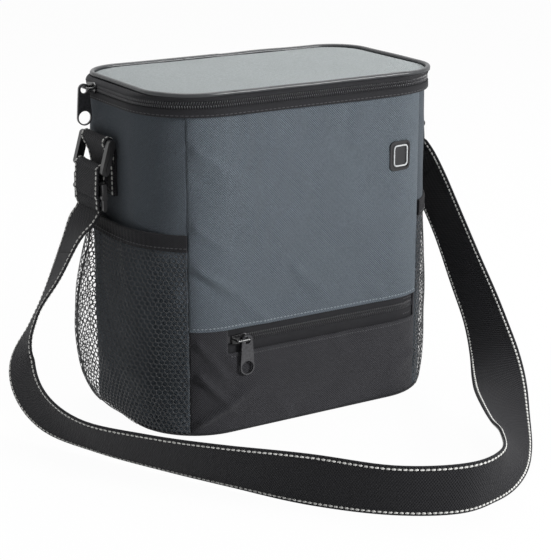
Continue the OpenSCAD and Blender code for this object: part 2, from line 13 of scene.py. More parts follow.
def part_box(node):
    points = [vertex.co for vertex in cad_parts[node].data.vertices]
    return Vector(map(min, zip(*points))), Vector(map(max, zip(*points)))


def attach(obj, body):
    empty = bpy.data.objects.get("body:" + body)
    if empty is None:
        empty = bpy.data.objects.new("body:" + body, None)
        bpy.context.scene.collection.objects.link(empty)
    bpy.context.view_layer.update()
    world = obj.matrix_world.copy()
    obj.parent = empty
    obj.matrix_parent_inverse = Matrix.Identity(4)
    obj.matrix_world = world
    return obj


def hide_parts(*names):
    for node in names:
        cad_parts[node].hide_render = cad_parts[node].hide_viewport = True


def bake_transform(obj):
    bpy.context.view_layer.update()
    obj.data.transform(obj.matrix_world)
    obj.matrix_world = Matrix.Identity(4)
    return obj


bl_info = {
    "name": "Cooler Bag",
    "version": (1, 0, 0),
    "blender": (4, 5, 0),
    "location": "View3D > Sidebar > Cooler Bag",
    "description": "Panels, zips, net pockets, lining and strap of an insulated cooler bag",
    "category": "Add Mesh",
}

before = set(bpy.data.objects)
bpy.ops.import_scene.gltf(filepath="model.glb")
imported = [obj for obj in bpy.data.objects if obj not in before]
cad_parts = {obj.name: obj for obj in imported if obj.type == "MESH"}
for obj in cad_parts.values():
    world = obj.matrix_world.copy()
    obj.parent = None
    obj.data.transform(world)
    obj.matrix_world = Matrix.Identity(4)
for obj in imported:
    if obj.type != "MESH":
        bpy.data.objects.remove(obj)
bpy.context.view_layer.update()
MM = 0.001
UP = np.array([0.0, 0.0, 1.0])


def linear(code):
    """Linear RGBA of an sRGB hex value."""
    srgb = [int(code[i:i + 2], 16) / 255 for i in (0, 2, 4)]
    return [c / 12.92 if c <= 0.04045 else ((c + 0.055) / 1.055) ** 2.4 for c in srgb] + [1.0]


# ---- sizes and colours that a user would change ------------------------------


def length(label, words, millimetres):
    """A length of the bag, stored in metres."""
    return bpy.props.FloatProperty(
        name=label, description=words, default=millimetres * MM, min=0.0, unit="LENGTH", precision=5)


def colour(label, words, code):
    """A colour of the bag, given as sRGB hex."""
    return bpy.props.FloatVectorProperty(
        name=label, description=words, default=linear(code), size=4, min=0.0, max=1.0, subtype="COLOR")


class CoolerSizes(bpy.types.PropertyGroup):
    """Sizes of the small pattern that covers the bag."""
    weave: length("Weave", "Pitch of the panels' weave", 1.7)
    rib: length("Webbing rib", "Pitch of the ribs across the webbing", 1.9)
    stitch: length("Stitch", "Pitch of the panels' seams", 2.8)
    edge_stitch: length("Edge stitch", "Pitch of the pale stitches on the webbing", 3.5)
    tooth: length("Tooth", "Pitch of the zip's teeth", 1.7)
    cell: length("Net cell", "Width of one mesh of the net", 3.7)
    strand: length("Net strand", "Width of the net's strands", 0.48)


class CoolerColours(bpy.types.PropertyGroup):
    """Colours of the cloth, thread and hardware."""
    canvas: colour("Canvas", "Blue-grey polyester of the front", "636c74")
    # painted shade: the front's polyester in a darker tone, standing in for the shade that the sides and
    # back lie in
    side_canvas: colour("Side canvas", "The darker polyester of the sides and back", "4b5259")
    # painted light: the front's polyester in a lighter tone, standing in for the top light and sheen that
    # fall on the lid
    lit_lid_canvas: colour("Lid canvas", "The same polyester on the lid, a little faded", "a6acad")
    black_canvas: colour("Black canvas", "Polyester of the pocket and base", "313135")
    webbing: colour("Webbing", "Ribbed nylon of the strap", "1c1c1f")
    thread: colour("Pale thread", "Stitches along the webbing", "e4e4e0")
    grey_thread: colour("Grey thread", "Stitches along the front's hem", "8d969d")
    dark_thread: colour("Dark thread", "Stitches of the black seams", "38383c")
    binding: colour("Binding", "Bands, tapes and folded edges", "1f1f22")
    hardware: colour("Hardware", "Moulded and enamelled pieces", "141416")
    foil: colour("Foil", "Film of the lining", "a9aeb2")


def sizes():
    return bpy.context.scene.cooler_sizes


def colours():
    return bpy.context.scene.cooler_colours


# ---- materials ---------------------------------------------------------------


def add_node(tree, kind, inputs=None, **values):
    """One node with its settings. An input takes a value, or a socket to link from."""
    node = tree.nodes.new(kind)
    for key, value in values.items():
        setattr(node, key, value)
    for key, value in (inputs or {}).items():
        if isinstance(value, bpy.types.NodeSocket):
            tree.links.new(value, node.inputs[key])
        else:
            node.inputs[key].default_value = value
    return node


def blank(name, **sockets):
    """A new material with its shader's own sockets set."""
    material = bpy.data.materials.new(name)
    material.use_nodes = True
    tree = material.node_tree
    shader = tree.nodes["Principled BSDF"]
    for key, value in sockets.items():
        shader.inputs[key.replace("_", " ")].default_value = value
    return material, tree, shader


MADE = {}


def made_once(make):
    """Makes a material the first time that it is asked for."""
    def once():
        if make.__name__ not in MADE:
            MADE[make.__name__] = make()
        return MADE[make.__name__]
    return once


def weave_height(tree, pitch_u, pitch_v):
    """Over and under of a weave, from 0 to 1, in the cloth's own coordinates."""
    cloth_map = add_node(tree, "ShaderNodeUVMap", uv_map="cloth")
    waves = [
        add_node(tree, "ShaderNodeTexWave", {
            "Vector": cloth_map.outputs[0], "Scale": math.pi / 10 / pitch,
            "Distortion": 0.0}, bands_direction=axis)
        for axis, pitch in (("X", pitch_u), ("Y", pitch_v))]
    sides = [
        add_node(tree, "ShaderNodeMath", {0: wave.outputs["Fac"], 1: 0.5}, operation="SUBTRACT")
        for wave in waves]
    crossed = add_node(tree, "ShaderNodeMath",
                       {0: sides[0].outputs[0], 1: sides[1].outputs[0]}, operation="MULTIPLY")
    return add_node(tree, "ShaderNodeMath", {0: crossed.outputs[0], 1: 2.0, 2: 0.5},
                    operation="MULTIPLY_ADD", use_clamp=True).outputs[0]


def blotches(tree, size, detail=3.0):
    """Slow unevenness from 0 to 1, in patches of about size millimetres."""
    place = add_node(tree, "ShaderNodeTexCoord")
    return add_node(tree, "ShaderNodeTexNoise", {
        "Vector": place.outputs["Object"], "Scale": 1 / (size * MM), "Detail": detail}).outputs["Fac"]


def shade(code, factor):
    """A colour made lighter or darker."""
    return [min(1.0, c * factor) for c in code[:3]] + [1.0]


def finish(tree, shader, share, dark, light, height=None, deep=0.0):
    """Colours a shader between two tones by share. A height from 0 to 1 raises its surface,
    deep metres at most."""
    tone = add_node(tree, "ShaderNodeMix", {0: share, 6: dark, 7: light}, data_type="RGBA")
    tree.links.new(tone.outputs[2], shader.inputs["Base Color"])
    if deep:
        bump = add_node(tree, "ShaderNodeBump", {"Height": height, "Distance": deep})
        tree.links.new(bump.outputs[0], shader.inputs["Normal"])


def mottled(name, grit, dark, light, deep=0.0, detail=3.0, **sockets):
    """A material in two tones, with patches of grit millimetres that may also raise it."""
    material, tree, shader = blank(name, **sockets)
    patches = blotches(tree, grit, detail)
    finish(tree, shader, patches, dark, light, patches, deep)
    return material


def canvas_like(name, code, pitch, deep, contrast):
    """Plain-woven polyester with a coated back: matt, a faint sheen, fine over and under.

    The threads are 0.5 mm apart, too fine to show, so the weave is drawn coarser. Its crests are painted
    lighter and its hollows darker, by contrast, as painted light and shade.
    """
    material, tree, shader = blank(name, Roughness=0.8, Sheen_Weight=0.06, Sheen_Roughness=0.5,
                                   Specular_IOR_Level=0.25)
    height = weave_height(tree, pitch, pitch)
    # painted light and shade: the first tone follows the weave's height, lighter on crests and darker in
    # hollows; slubs and wide patches vary at random
    weave_light_and_shade, slubs, worn = (
        add_node(tree, "ShaderNodeMix", {0: share, 6: shade(code, dark), 7: shade(code, light)},
                 data_type="RGBA").outputs[2]
        for share, dark, light in ((height, 1 - contrast, 1 + contrast),
                                   (blotches(tree, 1.25, 1.0), 0.2, 1.8),
                                   (blotches(tree, 35.7), 0.84, 1.14)))
    slub_share, worn_share = 0.45, 0.25   # how much each shows over the weave
    spun = add_node(tree, "ShaderNodeMix", {0: slub_share, 6: weave_light_and_shade, 7: slubs}, data_type="RGBA")
    finish(tree, shader, worn_share, spun.outputs[2], worn, height, deep)
    return material


@made_once
def woven_canvas():
    return canvas_like("polyester_canvas_grey", colours().canvas, sizes().weave, 0.0008, 0.8)


# painted shade: the sides' and back's canvas in a darker tone that stands in for their shade
@made_once
def woven_shaded_side_canvas():
    return canvas_like("polyester_canvas_side_shaded", colours().side_canvas, sizes().weave, 0.0005, 0.4)


# painted light: the lid's canvas in a lighter tone that stands in for the light on the lid
@made_once
def woven_lit_lid_canvas():
    return canvas_like("polyester_canvas_lid_lit", colours().lit_lid_canvas, sizes().weave, 0.0005, 0.5)


@made_once
def woven_black_canvas():
    return canvas_like("polyester_canvas_black", colours().black_canvas, sizes().weave, 0.0007, 0.8)


@made_once
def folded_binding():
    """Folded polyester tape: small cross ribs and a dull sheen."""
    return canvas_like("grosgrain_binding", colours().binding, sizes().weave * 0.7, 0.0002, 0.15)


@made_once
def ribbed_webbing():
    """Nylon webbing: ribs across the strap with the yarns' over and under between them."""
    material, tree, shader = blank("nylon_webbing", Roughness=0.75, Sheen_Weight=0.04,
                                   Sheen_Roughness=0.5, Specular_IOR_Level=0.2)
    height, code = weave_height(tree, sizes().rib, sizes().rib * 1.5), colours().webbing
    # painted light and shade: the ribs' crests lighter and their hollows darker, following the same height
    # that raises them
    finish(tree, shader, height, shade(code, 0.6), shade(code, 1.5), height, 0.0006)
    return material


@made_once
def knitted_net():
    """Knitted nylon net: round dark strands with a soft gloss."""
    return mottled("nylon_net", 1.111, linear("1b1c1f"), linear("2c2f32"), detail=1.0,
                   Roughness=0.5, Sheen_Weight=0.2)


@made_once
def folded_elastic():
    """Knitted elastic: fine lengthwise ribs that gather when it is sewn."""
    return canvas_like("knitted_elastic", linear("1c1c1f"), sizes().rib * 0.8, 0.0004, 0.3)


@made_once
def vinyl_piping():
    """Vinyl skin over a cord: smooth, half glossy, with shallow dents."""
    return mottled("vinyl_piping", 3.85, linear("1e1f22"), linear("303336"), deep=0.0004,
                   Roughness=0.36, Specular_IOR_Level=0.55)


@made_once
def coiled_nylon():
    """Drawn nylon filament wound to a coil: smooth, so each turn takes a small highlight."""
    return mottled("nylon_coil", 3.33, linear("202023"), linear("36363a"), Roughness=0.3, IOR=1.53)


@made_once
def moulded_nylon():
    """Injection-moulded nylon: glossy, with the faint grain of its mould."""
    material, tree, shader = blank("moulded_nylon", Roughness=0.28, IOR=1.53)
    code = colours().hardware
    finish(tree, shader, blotches(tree, 16.7), shade(code, 0.8), shade(code, 1.5),
           blotches(tree, 0.5556, 2.0), 0.00006)
    return material


@made_once
def enamelled_zinc():
    """Die-cast zinc under black enamel: wet gloss with rubbed, greyer edges."""
    material, tree, shader = blank("enamelled_zinc", Roughness=0.24, Coat_Weight=0.4, Coat_Roughness=0.12)
    edges = add_node(tree, "ShaderNodeNewGeometry")
    worn = add_node(tree, "ShaderNodeMapRange", {
        "Value": edges.outputs["Pointiness"], "From Min": 0.53, "From Max": 0.62})
    patchy = add_node(tree, "ShaderNodeMath", {0: worn.outputs[0], 1: blotches(tree, 1.43)},
                      operation="MULTIPLY")
    finish(tree, shader, patchy.outputs[0], linear("151517"), linear("4c4c50"))
    return material


@made_once
def moulded_rubber():
    """Soft moulded rubber: matt black with a fine stipple."""
    return mottled("moulded_rubber", 0.667, linear("121214"), linear("242427"), deep=0.0001,
                   detail=2.0, Roughness=0.5, Specular_IOR_Level=0.4)


@made_once
def pale_rubber():
    """The same rubber, moulded in grey."""
    return mottled("moulded_rubber_pale", 0.833, linear("b9bcbe"), linear("d2d4d5"), Roughness=0.5)


@made_once
def foil_film():
    """Foil-faced film, heat-welded: bright, crinkled all over, with soft broken reflections."""
    material, tree, shader = blank("foil_film", Metallic=0.5, Roughness=0.5)
    place = add_node(tree, "ShaderNodeTexCoord")
    crinkle = add_node(tree, "ShaderNodeTexVoronoi", {
        "Vector": place.outputs["Object"], "Scale": 1 / (10.5 * MM)}, feature="SMOOTH_F1")
    fine = blotches(tree, 6.25, 4.0)
    height = add_node(tree, "ShaderNodeMath", {0: crinkle.outputs["Distance"], 1: fine},
                      operation="MULTIPLY")
    finish(tree, shader, fine, shade(colours().foil, 0.82), colours().foil[:], height.outputs[0], 0.0018)
    return material


@made_once
def foam_sheet():
    """Closed-cell polyethylene foam: white, matt, with small cells."""
    return mottled("polyethylene_foam", 1.43, linear("d2d2cb"), linear("e9e9e3"), deep=0.0003,
                   detail=2.0, Roughness=0.85)


def thread_of(name, code):
    """Twisted polyester thread: silky, with lighter and darker plies."""
    return mottled(name, 1.111, shade(code, 0.8), shade(code, 1.06), detail=1.0,
                   Roughness=0.55, Sheen_Weight=0.15)


@made_once
def pale_thread():
    return thread_of("thread_pale", colours().thread)


@made_once
def grey_thread():
    return thread_of("thread_grey", colours().grey_thread)


@made_once
def dark_thread():
    return thread_of("thread_dark", colours().dark_thread)


# ---- outlines in plan --------------------------------------------------------


class Outline:
    """Rounded rectangle in plan. A place on it is the arc length along the body's own outline,
    from the middle of the front, plus towards +X."""

    def __init__(self, half_w, half_d, front_r, rear_r, like=None):
        quarter = math.pi / 2
        self.shape = half_w, half_d, front_r, rear_r
        self.own = np.cumsum([0, half_w - front_r, front_r * quarter,
                              2 * half_d - front_r - rear_r, rear_r * quarter, half_w - rear_r])
        self.marks = self.own if like is None else like.own

    def at(self, s, out=0.0):
        """x, y and the outward normal's x, y at arc length s, out millimetres further out."""
        half_w, half_d, front_r, rear_r = self.shape
        round_trip = 2 * self.marks[-1]
        s = (np.asarray(s, float) + self.marks[-1]) % round_trip - self.marks[-1]
        side = np.where(s < 0, -1.0, 1.0)
        t = np.interp(np.abs(s), self.marks, self.own)
        m = self.own
        front = np.clip((t - m[1]) / front_r, 0, math.pi / 2)
        rear = np.clip((t - m[3]) / rear_r, 0, math.pi / 2)
        turn = front + rear
        nx, ny = np.sin(turn), -np.cos(turn)
        x = np.where(t < m[1], t, half_w - front_r + front_r * np.sin(front))
        x = np.where(t > m[3], half_w - rear_r + rear_r * np.cos(rear) - np.clip(t - m[4], 0, None), x)
        y = -half_d + front_r - front_r * np.cos(front) + np.clip(t - m[2], 0, m[3] - m[2]) \
            + rear_r * np.sin(rear)
        return side * (x + nx * out), y + ny * out, side * nx, ny

    def length_at(self, x):
        """Arc length at a width x on the front."""
        half_w, _, front_r, _ = self.shape
        flat = half_w - front_r
        if abs(x) <= flat:
            return x
        return math.copysign(flat + front_r * math.asin((abs(x) - flat) / front_r), x)


def box_of(node):
    """Low and high corners of a node's box, in millimetres."""
    return [np.array(corner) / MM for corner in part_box(node)]


low, high = box_of("base_panel")
FRONT_R, REAR_R = 50.0, 32.0
BODY = Outline(high[0], high[1], FRONT_R, REAR_R)
low, high = box_of("lid_piping")
TOP_Z = high[2]
PIPING_R = (high[2] - low[2]) / 2
LID = Outline(high[0], high[1], FRONT_R - 10, REAR_R - 1, like=BODY)
SEAM = BODY.length_at(96.0)              # arc length at the front corner seams
REAR_SEAM = 240.6                        # and at the rear ones
HALF_WAY = BODY.own[-1]                  # the middle of the back
FAR_SEAM = 2 * HALF_WAY - REAR_SEAM      # the left rear seam, counted on round the back
ZIP_END = 203.5                          # ends of the main zip
ZIP_Z = TOP_Z - 8.4
BAND_Z = TOP_Z - 17.0
BAND_OUT = 2.6                           # the band stands this far off the wall
POCKET_Z = 77.0                          # hem of the grey front
FOLD_Z = 59.5                            # folded edge under the pocket zip
POCKET_ZIP_Z = 69.25
NET_TOP = 135.0                          # the net ends here and its elastic begins
ELASTIC_TOP = 147.0
WALL_TOP = BAND_Z + 4
FLOOR_Z = 1.2


# ---- meshes ------------------------------------------------------------------


def mesh_piece(name, points, faces, uvs=None):
    """An object of these points and faces, in millimetres, shaded smooth."""
    mesh = bpy.data.meshes.new(name)
    points = np.asarray(points, float).reshape(-1, 3)
    mesh.from_pydata((points * MM).tolist(), [], [list(map(int, face)) for face in faces])
    if uvs is not None:
        layer = mesh.uv_layers.new(name="cloth")
        corners = np.empty(len(mesh.loops), int)
        mesh.loops.foreach_get("vertex_index", corners)
        layer.data.foreach_set("uv", (np.asarray(uvs, float).reshape(-1, 2) * MM)[corners].ravel())
    mesh.shade_smooth()
    piece = bpy.data.objects.new(name, mesh)
    bpy.context.collection.objects.link(piece)
    return piece


def grid_faces(n, m, keep=None):
    """Quads of an n by m grid of points. keep drops those whose cell isn't kept."""
    i, j = np.meshgrid(np.arange(n - 1), np.arange(m - 1), indexing="ij")
    corner = (i * m + j)
    if keep is not None:
        corner = corner[keep]
    corner = corner.ravel()
    return np.stack([corner, corner + m, corner + m + 1, corner + 1], -1)


def weld(piece):
    """Joins points that lie within 0.01 mm of each other."""
    shape = bmesh.new()
    shape.from_mesh(piece.data)
    bmesh.ops.remove_doubles(shape, verts=shape.verts, dist=0.01 * MM)
    loose = [v for v in shape.verts if not v.link_faces]
    bmesh.ops.delete(shape, geom=loose, context="VERTS")
    shape.to_mesh(piece.data)
    shape.free()
    return piece


def cloth(name, us, vs, place, keep=None, plan_uv=False):
    """A sheet through place(u, v), with the cloth's own coordinates as its UVs."""
    u, v = np.meshgrid(us, vs, indexing="ij")
    x, y, z = np.broadcast_arrays(*place(u, v))
    cells = None
    if keep is not None:
        cells = keep((u[1:, 1:] + u[:-1, :-1]) / 2, (v[1:, 1:] + v[:-1, :-1]) / 2)
    flat = (x, y) if plan_uv else (u, v)
    piece = mesh_piece(name, np.stack([x, y, z], -1), grid_faces(len(us), len(vs), cells),
                       np.stack(flat, -1))
    return weld(piece)


def thicken(piece, thickness):
    """Gives a sheet its thickness, on the side away from its normals."""
    modifier = piece.modifiers.new("thickness", "SOLIDIFY")
    modifier.thickness = thickness * MM
    modifier.offset = -1.0
    modifier.use_even_offset = False
    return piece


def soften(piece, radius):
    """Rounds the sharp edges of a moulded piece."""
    modifier = piece.modifiers.new("rounded edges", "BEVEL")
    modifier.width = radius * MM
    modifier.segments = 2
    modifier.limit_method = "ANGLE"
    modifier.angle_limit = math.radians(40)
    return piece


def sew(piece, body, material, slot, *nodes):
    """Gives a piece its material and puts it on its body. The slot is not used."""
    piece.data.materials.append(material)
    if nodes:
        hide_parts(*nodes)
    if body:
        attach(piece, body)
    return piece


def dress(material, *nodes):
    """Paints CAD nodes whose shape stays."""
    for node in nodes:
        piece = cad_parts[node]
        piece.data.materials.clear()
        piece.data.materials.append(material)
        cloth_map = piece.data.uv_layers.get("cloth") or piece.data.uv_layers.new(name="cloth")
        points = np.empty(len(piece.data.vertices) * 3)
        piece.data.vertices.foreach_get("co", points)
        points = points.reshape(-1, 3)
        corners = np.empty(len(piece.data.loops), int)
        piece.data.loops.foreach_get("vertex_index", corners)
        cloth_map.data.foreach_set(
            "uv", np.stack([points[:, 0] + points[:, 1], points[:, 2]], -1)[corners].ravel())


def unit(vectors):
    return vectors / np.linalg.norm(vectors, axis=-1, keepdims=True)


def run_length(points):
    """Distance along a line of points."""
    return np.concatenate([[0], np.cumsum(np.linalg.norm(np.diff(points, axis=0), axis=1))])


def round_profile(radius, corners):
    """Section of a cord, for sweep."""
    return [(radius * math.cos(a), radius * math.sin(a))
            for a in np.linspace(0, 2 * math.pi, corners + 1)[:-1]]


def sweep(name, centre, side, up, profile, closed=False):
    """A solid through copies of a profile of (along side, along up) points."""
    centre, side, up = (np.broadcast_to(a, (len(centre), 3)) for a in (centre, side, up))
    profile = np.asarray(profile, float)
    n, m = len(centre), len(profile)
    points = (centre[:, None] + side[:, None] * profile[None, :, :1] + up[:, None] * profile[None, :, 1:])
    girth = run_length(np.vstack([profile, profile[:1]]))
    ring = np.vstack([np.arange(m), (np.arange(m) + 1) % m]).T
    rows = n if closed else n - 1
    faces, uvs = [], []
    along = run_length(np.vstack([centre, centre[:1]]))
    for i in range(rows):
        j = (i + 1) % n
        for k, (a, b) in enumerate(ring):
            faces.append((i * m + a, j * m + a, j * m + b, i * m + b))
            uvs += [(along[i], girth[k]), (along[i + 1], girth[k]),
                    (along[i + 1], girth[k + 1]), (along[i], girth[k + 1])]
    if not closed:
        faces += [tuple(range(m)), tuple((n - 1) * m + k for k in reversed(range(m)))]
        uvs += [tuple(profile[k]) for k in range(m)]
        uvs += [tuple(profile[k]) for k in reversed(range(m))]
    piece = mesh_piece(name, points, faces)
    layer = piece.data.uv_layers.new(name="cloth")
    layer.data.foreach_set("uv", (np.array(uvs, float) * MM).ravel())
    return face_out(piece)


def face_out(piece):
    """Turns a closed mesh's faces outward."""
    shape = bmesh.new()
    shape.from_mesh(piece.data)
    bmesh.ops.recalc_face_normals(shape, faces=shape.faces)
    shape.to_mesh(piece.data)
    shape.free()
    return piece


def grain(long, wide, high):
    """Points and faces of a rounded grain along X, for a stitch or a tooth."""
    stations = [(-0.5, 0.35), (-0.32, 0.9), (0.0, 1.0), (0.32, 0.9), (0.5, 0.35)]
    angles = [math.radians(a) for a in range(0, 360, 60)]
    points = [(x * long, k * wide / 2 * math.cos(a), k * high / 2 * math.sin(a))
              for x, k in stations for a in angles]
    faces = [(i * 6 + j, i * 6 + (j + 1) % 6, (i + 1) * 6 + (j + 1) % 6, (i + 1) * 6 + j)
             for i in range(4) for j in range(6)]
    faces += [tuple(reversed(range(6))), tuple(range(24, 30))]
    return np.array(points), faces


def strew(name, shape, origins, along, across, out):
    """One mesh of many copies of a small shape, each on its own axes."""
    points, faces = shape
    origins = np.asarray(origins)
    placed = (origins[:, None] + along[:, None] * points[None, :, :1]
              + across[:, None] * points[None, :, 1:2] + out[:, None] * points[None, :, 2:])
    every = [[i * len(points) + k for k in face] for i in range(len(origins)) for face in faces]
    return face_out(mesh_piece(name, placed, every))


def spaced(path, pitch, *others):
    """A path and what goes with it, resampled at an even pitch."""
    path = np.asarray(path, float)
    reach = run_length(path)
    count = max(2, int(reach[-1] / pitch))
    marks = (np.arange(count) + 0.5) * reach[-1] / count
    return [np.stack([np.interp(marks, reach, values[:, k]) for k in range(3)], -1)
            for values in (path, *others)]


def stitch_line(name, path, out, body, material, slot, pitch, width, height, share=0.72):
    """A row of stitches along a path, on the side that out points to."""
    out = np.broadcast_to(out, np.shape(path))
    points, outs = spaced(path, pitch, np.array(out))
    along = unit(np.gradient(points, axis=0))
    across = unit(np.cross(outs, along))
    outs = np.cross(along, across)
    piece = strew(name, grain(pitch * share, width, height), points, along, across, outs)
    return sew(piece, body, material, slot)


def ripple(u, v, size, seed):
    """Smooth unevenness from about -1 to 1, with folds about size apart."""
    total = 0
    for angle, phase, stretch in np.random.default_rng(seed).uniform(
            (0, 0, 0.7), (math.pi, 2 * math.pi, 1.7), (7, 3)):
        total = total + np.sin((u * math.cos(angle) + v * math.sin(angle))
                               * 2 * math.pi / (size * stretch) + phase)
    return total / 3.5


def crease(u, v, start, end, width, height):
    """A fold that is sharpest at its start and fades towards its end."""
    (u0, v0), (u1, v1) = start, end
    reach = math.hypot(u1 - u0, v1 - v0)
    t = ((u - u0) * (u1 - u0) + (v - v0) * (v1 - v0)) / reach ** 2
    across = ((u - u0) * (v1 - v0) - (v - v0) * (u1 - u0)) / reach
    fade = np.where(t < 0, np.exp(-(t * reach / width) ** 2), np.clip(1 - t, 0, 1) ** 0.8)
    return height * fade * np.exp(-(across / (width * (0.7 + 0.6 * np.clip(t, 0, 1)))) ** 2)


def creased(relief, u, v, folds):
    """A relief with folds added, each given as crease takes it."""
    for fold in folds:
        relief = relief + crease(u, v, *fold)
    return relief


def tuck(distance):
    """How far cloth rolls in at a seam, by the distance from it."""
    return -np.exp(-np.abs(distance) / 2.2)


def on_wall(s, z, out):
    """Points on the body's outline, out further out."""
    x, y, _, _ = BODY.at(s, out)
    return x, y, z + 0 * x


def ring_path(outline, s, z, out):
    """Points and outward normals along a ring."""
    x, y, nx, ny = outline.at(s, out)
    zero = 0 * x
    return np.stack([x, y, z + zero], -1), np.stack([nx, ny, zero], -1)


# ---- stage -------------------------------------------------------------------


class COOLER_OT_stage(bpy.types.Operator):
    """Camera, pale floor, soft lights and world"""
    bl_idname = "cooler.stage"
    bl_label = "Stage"

    def execute(self, context):
        scene = context.scene
        scene.view_settings.view_transform = "Standard"
        azimuth, elevation, distance = math.radians(-31.2), math.radians(16.9), 1.272
        back = Vector((math.sin(azimuth) * math.cos(elevation),
                       -math.cos(azimuth) * math.cos(elevation), math.sin(elevation)))
        right = Vector((math.cos(azimuth), math.sin(azimuth), 0))
        rise = back.cross(right)
        camera = bpy.data.objects.new("camera", bpy.data.cameras.new("camera"))
        camera.data.lens, camera.data.sensor_width = 107.27, 36
        turn = Matrix((right, rise, back)).transposed()
        aim = right * 0.0084 + rise * 0.081
        camera.matrix_world = Matrix.Translation(aim + back * distance) @ turn.to_4x4()
        context.collection.objects.link(camera)
        scene.camera = camera
        self.light(context, "top_softbox", (0.25, 0.35, 1.35), (0, 0.02, 0.2), 1.3, 15)
        self.light(context, "right_softbox", (0.85, -1.4, 0.75), (0, 0, 0.12), 0.5, 27)
        self.light(context, "left_fill", (-1.5, -0.5, 0.5), (0, 0, 0.1), 1.0, 0.5)
        self.world(scene)
        self.floor(context)
        return {"FINISHED"}

    def light(self, context, name, place, aim, size, power):
        data = bpy.data.lights.new(name, "AREA")
        data.size, data.energy = size, power
        lamp = bpy.data.objects.new(name, data)
        lamp.location = place
        lamp.rotation_euler = (Vector(aim) - Vector(place)).to_track_quat("-Z", "Y").to_euler()
        context.collection.objects.link(lamp)

    def seen(self, tree):
        """1 for rays from the camera, off a gloss or through glass"""
        rays = add_node(tree, "ShaderNodeLightPath")
        direct = add_node(tree, "ShaderNodeMath", {
            0: rays.outputs["Is Camera Ray"], 1: rays.outputs["Is Glossy Ray"]}, operation="MAXIMUM")
        return add_node(tree, "ShaderNodeMath", {
            0: direct.outputs[0], 1: rays.outputs["Is Transmission Ray"]},
            operation="MAXIMUM").outputs[0]

    def world(self, scene):
        """White to the camera and to mirrors, soft grey as a light."""
        scene.world = bpy.data.worlds.new("studio")
        scene.world.use_nodes = True
        tree = scene.world.node_tree
        level = add_node(tree, "ShaderNodeMapRange", {"Value": self.seen(tree), "To Min": 0.11})
        ground = tree.nodes["Background"]
        ground.inputs["Color"].default_value = linear("ffffff")
        tree.links.new(level.outputs[0], ground.inputs["Strength"])

    def floor(self, context):
        bpy.ops.mesh.primitive_plane_add(size=12)
        floor = context.object
        floor.name = "floor"
        material, tree, shader = blank("studio_floor", Roughness=0.9, Base_Color=linear("f2f2f2"))
        white = add_node(tree, "ShaderNodeEmission", {"Color": linear("ffffff"), "Strength": 1.0})
        share = add_node(tree, "ShaderNodeMath", {0: self.seen(tree), 1: 0.97}, operation="MULTIPLY")
        mix = add_node(tree, "ShaderNodeMixShader", {
            0: share.outputs[0], 1: shader.outputs[0], 2: white.outputs[0]})
        tree.links.new(mix.outputs[0], tree.nodes["Material Output"].inputs["Surface"])
        floor.data.materials.append(material)
        floor.location.z = -0.0002


# ---- strap and rings ---------------------------------------------------------

# Middle of the strap and the way across it, from the right ring to the adjuster
STRAP_ROUTE = np.array([
    (143, 20, 178, 0, 1, 0), (144, 20, 174, 0, 1, 0), (145, 20, 170, 0, 1, 0),
    (146, 15, 162, -0.1, 0.9, -0.4), (147, 4, 152, -0.1, 0.7, -0.6),
    (147, -11, 137, -0.1, 0.7, -0.7), (145, -34, 114, -0.1, 0.7, -0.7),
    (141, -62, 86, -0.2, 0.7, -0.7), (135, -89, 64, -0.3, 0.6, -0.7),
    (124, -116, 47, -0.5, 0.6, -0.6), (109, -144, 35, -0.8, 0.5, -0.3),
    (90, -175, 26, -0.8, 0.4, 0.2), (69, -209, 20, -0.7, 0.4, 0.6),
    (46, -239, 20, -0.3, 0.3, 0.9), (18, -261, 20, 0, -0.1, 1), (-14, -266, 20, 0, -0.2, 1),
    (-53, -246, 20, -0.1, -0.2, 1), (-88, -206, 20, -0.1, -0.1, 1),
    (-122, -161, 20, -0.3, -0.2, 0.9), (-151, -114, 19, -0.5, -0.2, 0.9),
    (-178, -65, 20, -0.4, -0.4, 0.8), (-193, -21, 29, 0, -0.6, 0.8),
    (-194, 6, 51, 0.2, -0.7, 0.7), (-181, 12, 80, 0, -0.7, 0.7),
    (-163, 14, 108, -0.1, -0.9, 0.4), (-148, 18, 132, -0.1, -1, 0.2),
    (-138, 20, 145, 0, -1, 0), (-134, 20, 150, 0, -1, 0), (-131.5, 20, 154, 0, -1, 0)])
STRAP_W, STRAP_T = 38.0, 1.6
EDGE_SEAM = 2.4                          # from the webbing's edge to its pale stitches
LEAD = 34.0                              # free end of the strap at each ring
ANCHOR_Y, RING_Z, BAR_X = 20.0, 202.5, 124.0
RING_PITCH = 20.0                        # from a ring's upper bar to its lower one
BAR_R = 2.3                              # a ring's bar, with the slack of the webbing round it
TILT_LEFT, TILT_RIGHT = math.radians(16), math.radians(50)


def spline(rows, steps):
    """A smooth line through rows, steps points to each."""
    rows = np.vstack([rows[:1], rows, rows[-1:]])
    out = []
    for i in range(1, len(rows) - 2):
        a, b, c, d = rows[i - 1:i + 3]
        for t in np.arange(steps) / steps:
            out.append((2 * b + (c - a) * t + (2 * a - 5 * b + 4 * c - d) * t ** 2
                        + (3 * b - a - 3 * c + d) * t ** 3) / 2)
    return np.vstack([out, rows[-1]])


def belt_profile():
    """Section of webbing: flat faces with rounded edges."""
    half, flat = STRAP_T / 2, STRAP_W / 2 - STRAP_T / 2
    right = [(flat + half * math.cos(a), half * math.sin(a))
             for a in np.linspace(-math.pi / 2, math.pi / 2, 5)]
    top = [(x, half) for x in np.linspace(flat, -flat, 8)[1:-1]]
    return right + top + [(-x, -y) for x, y in right] + [(-x, -y) for x, y in top]


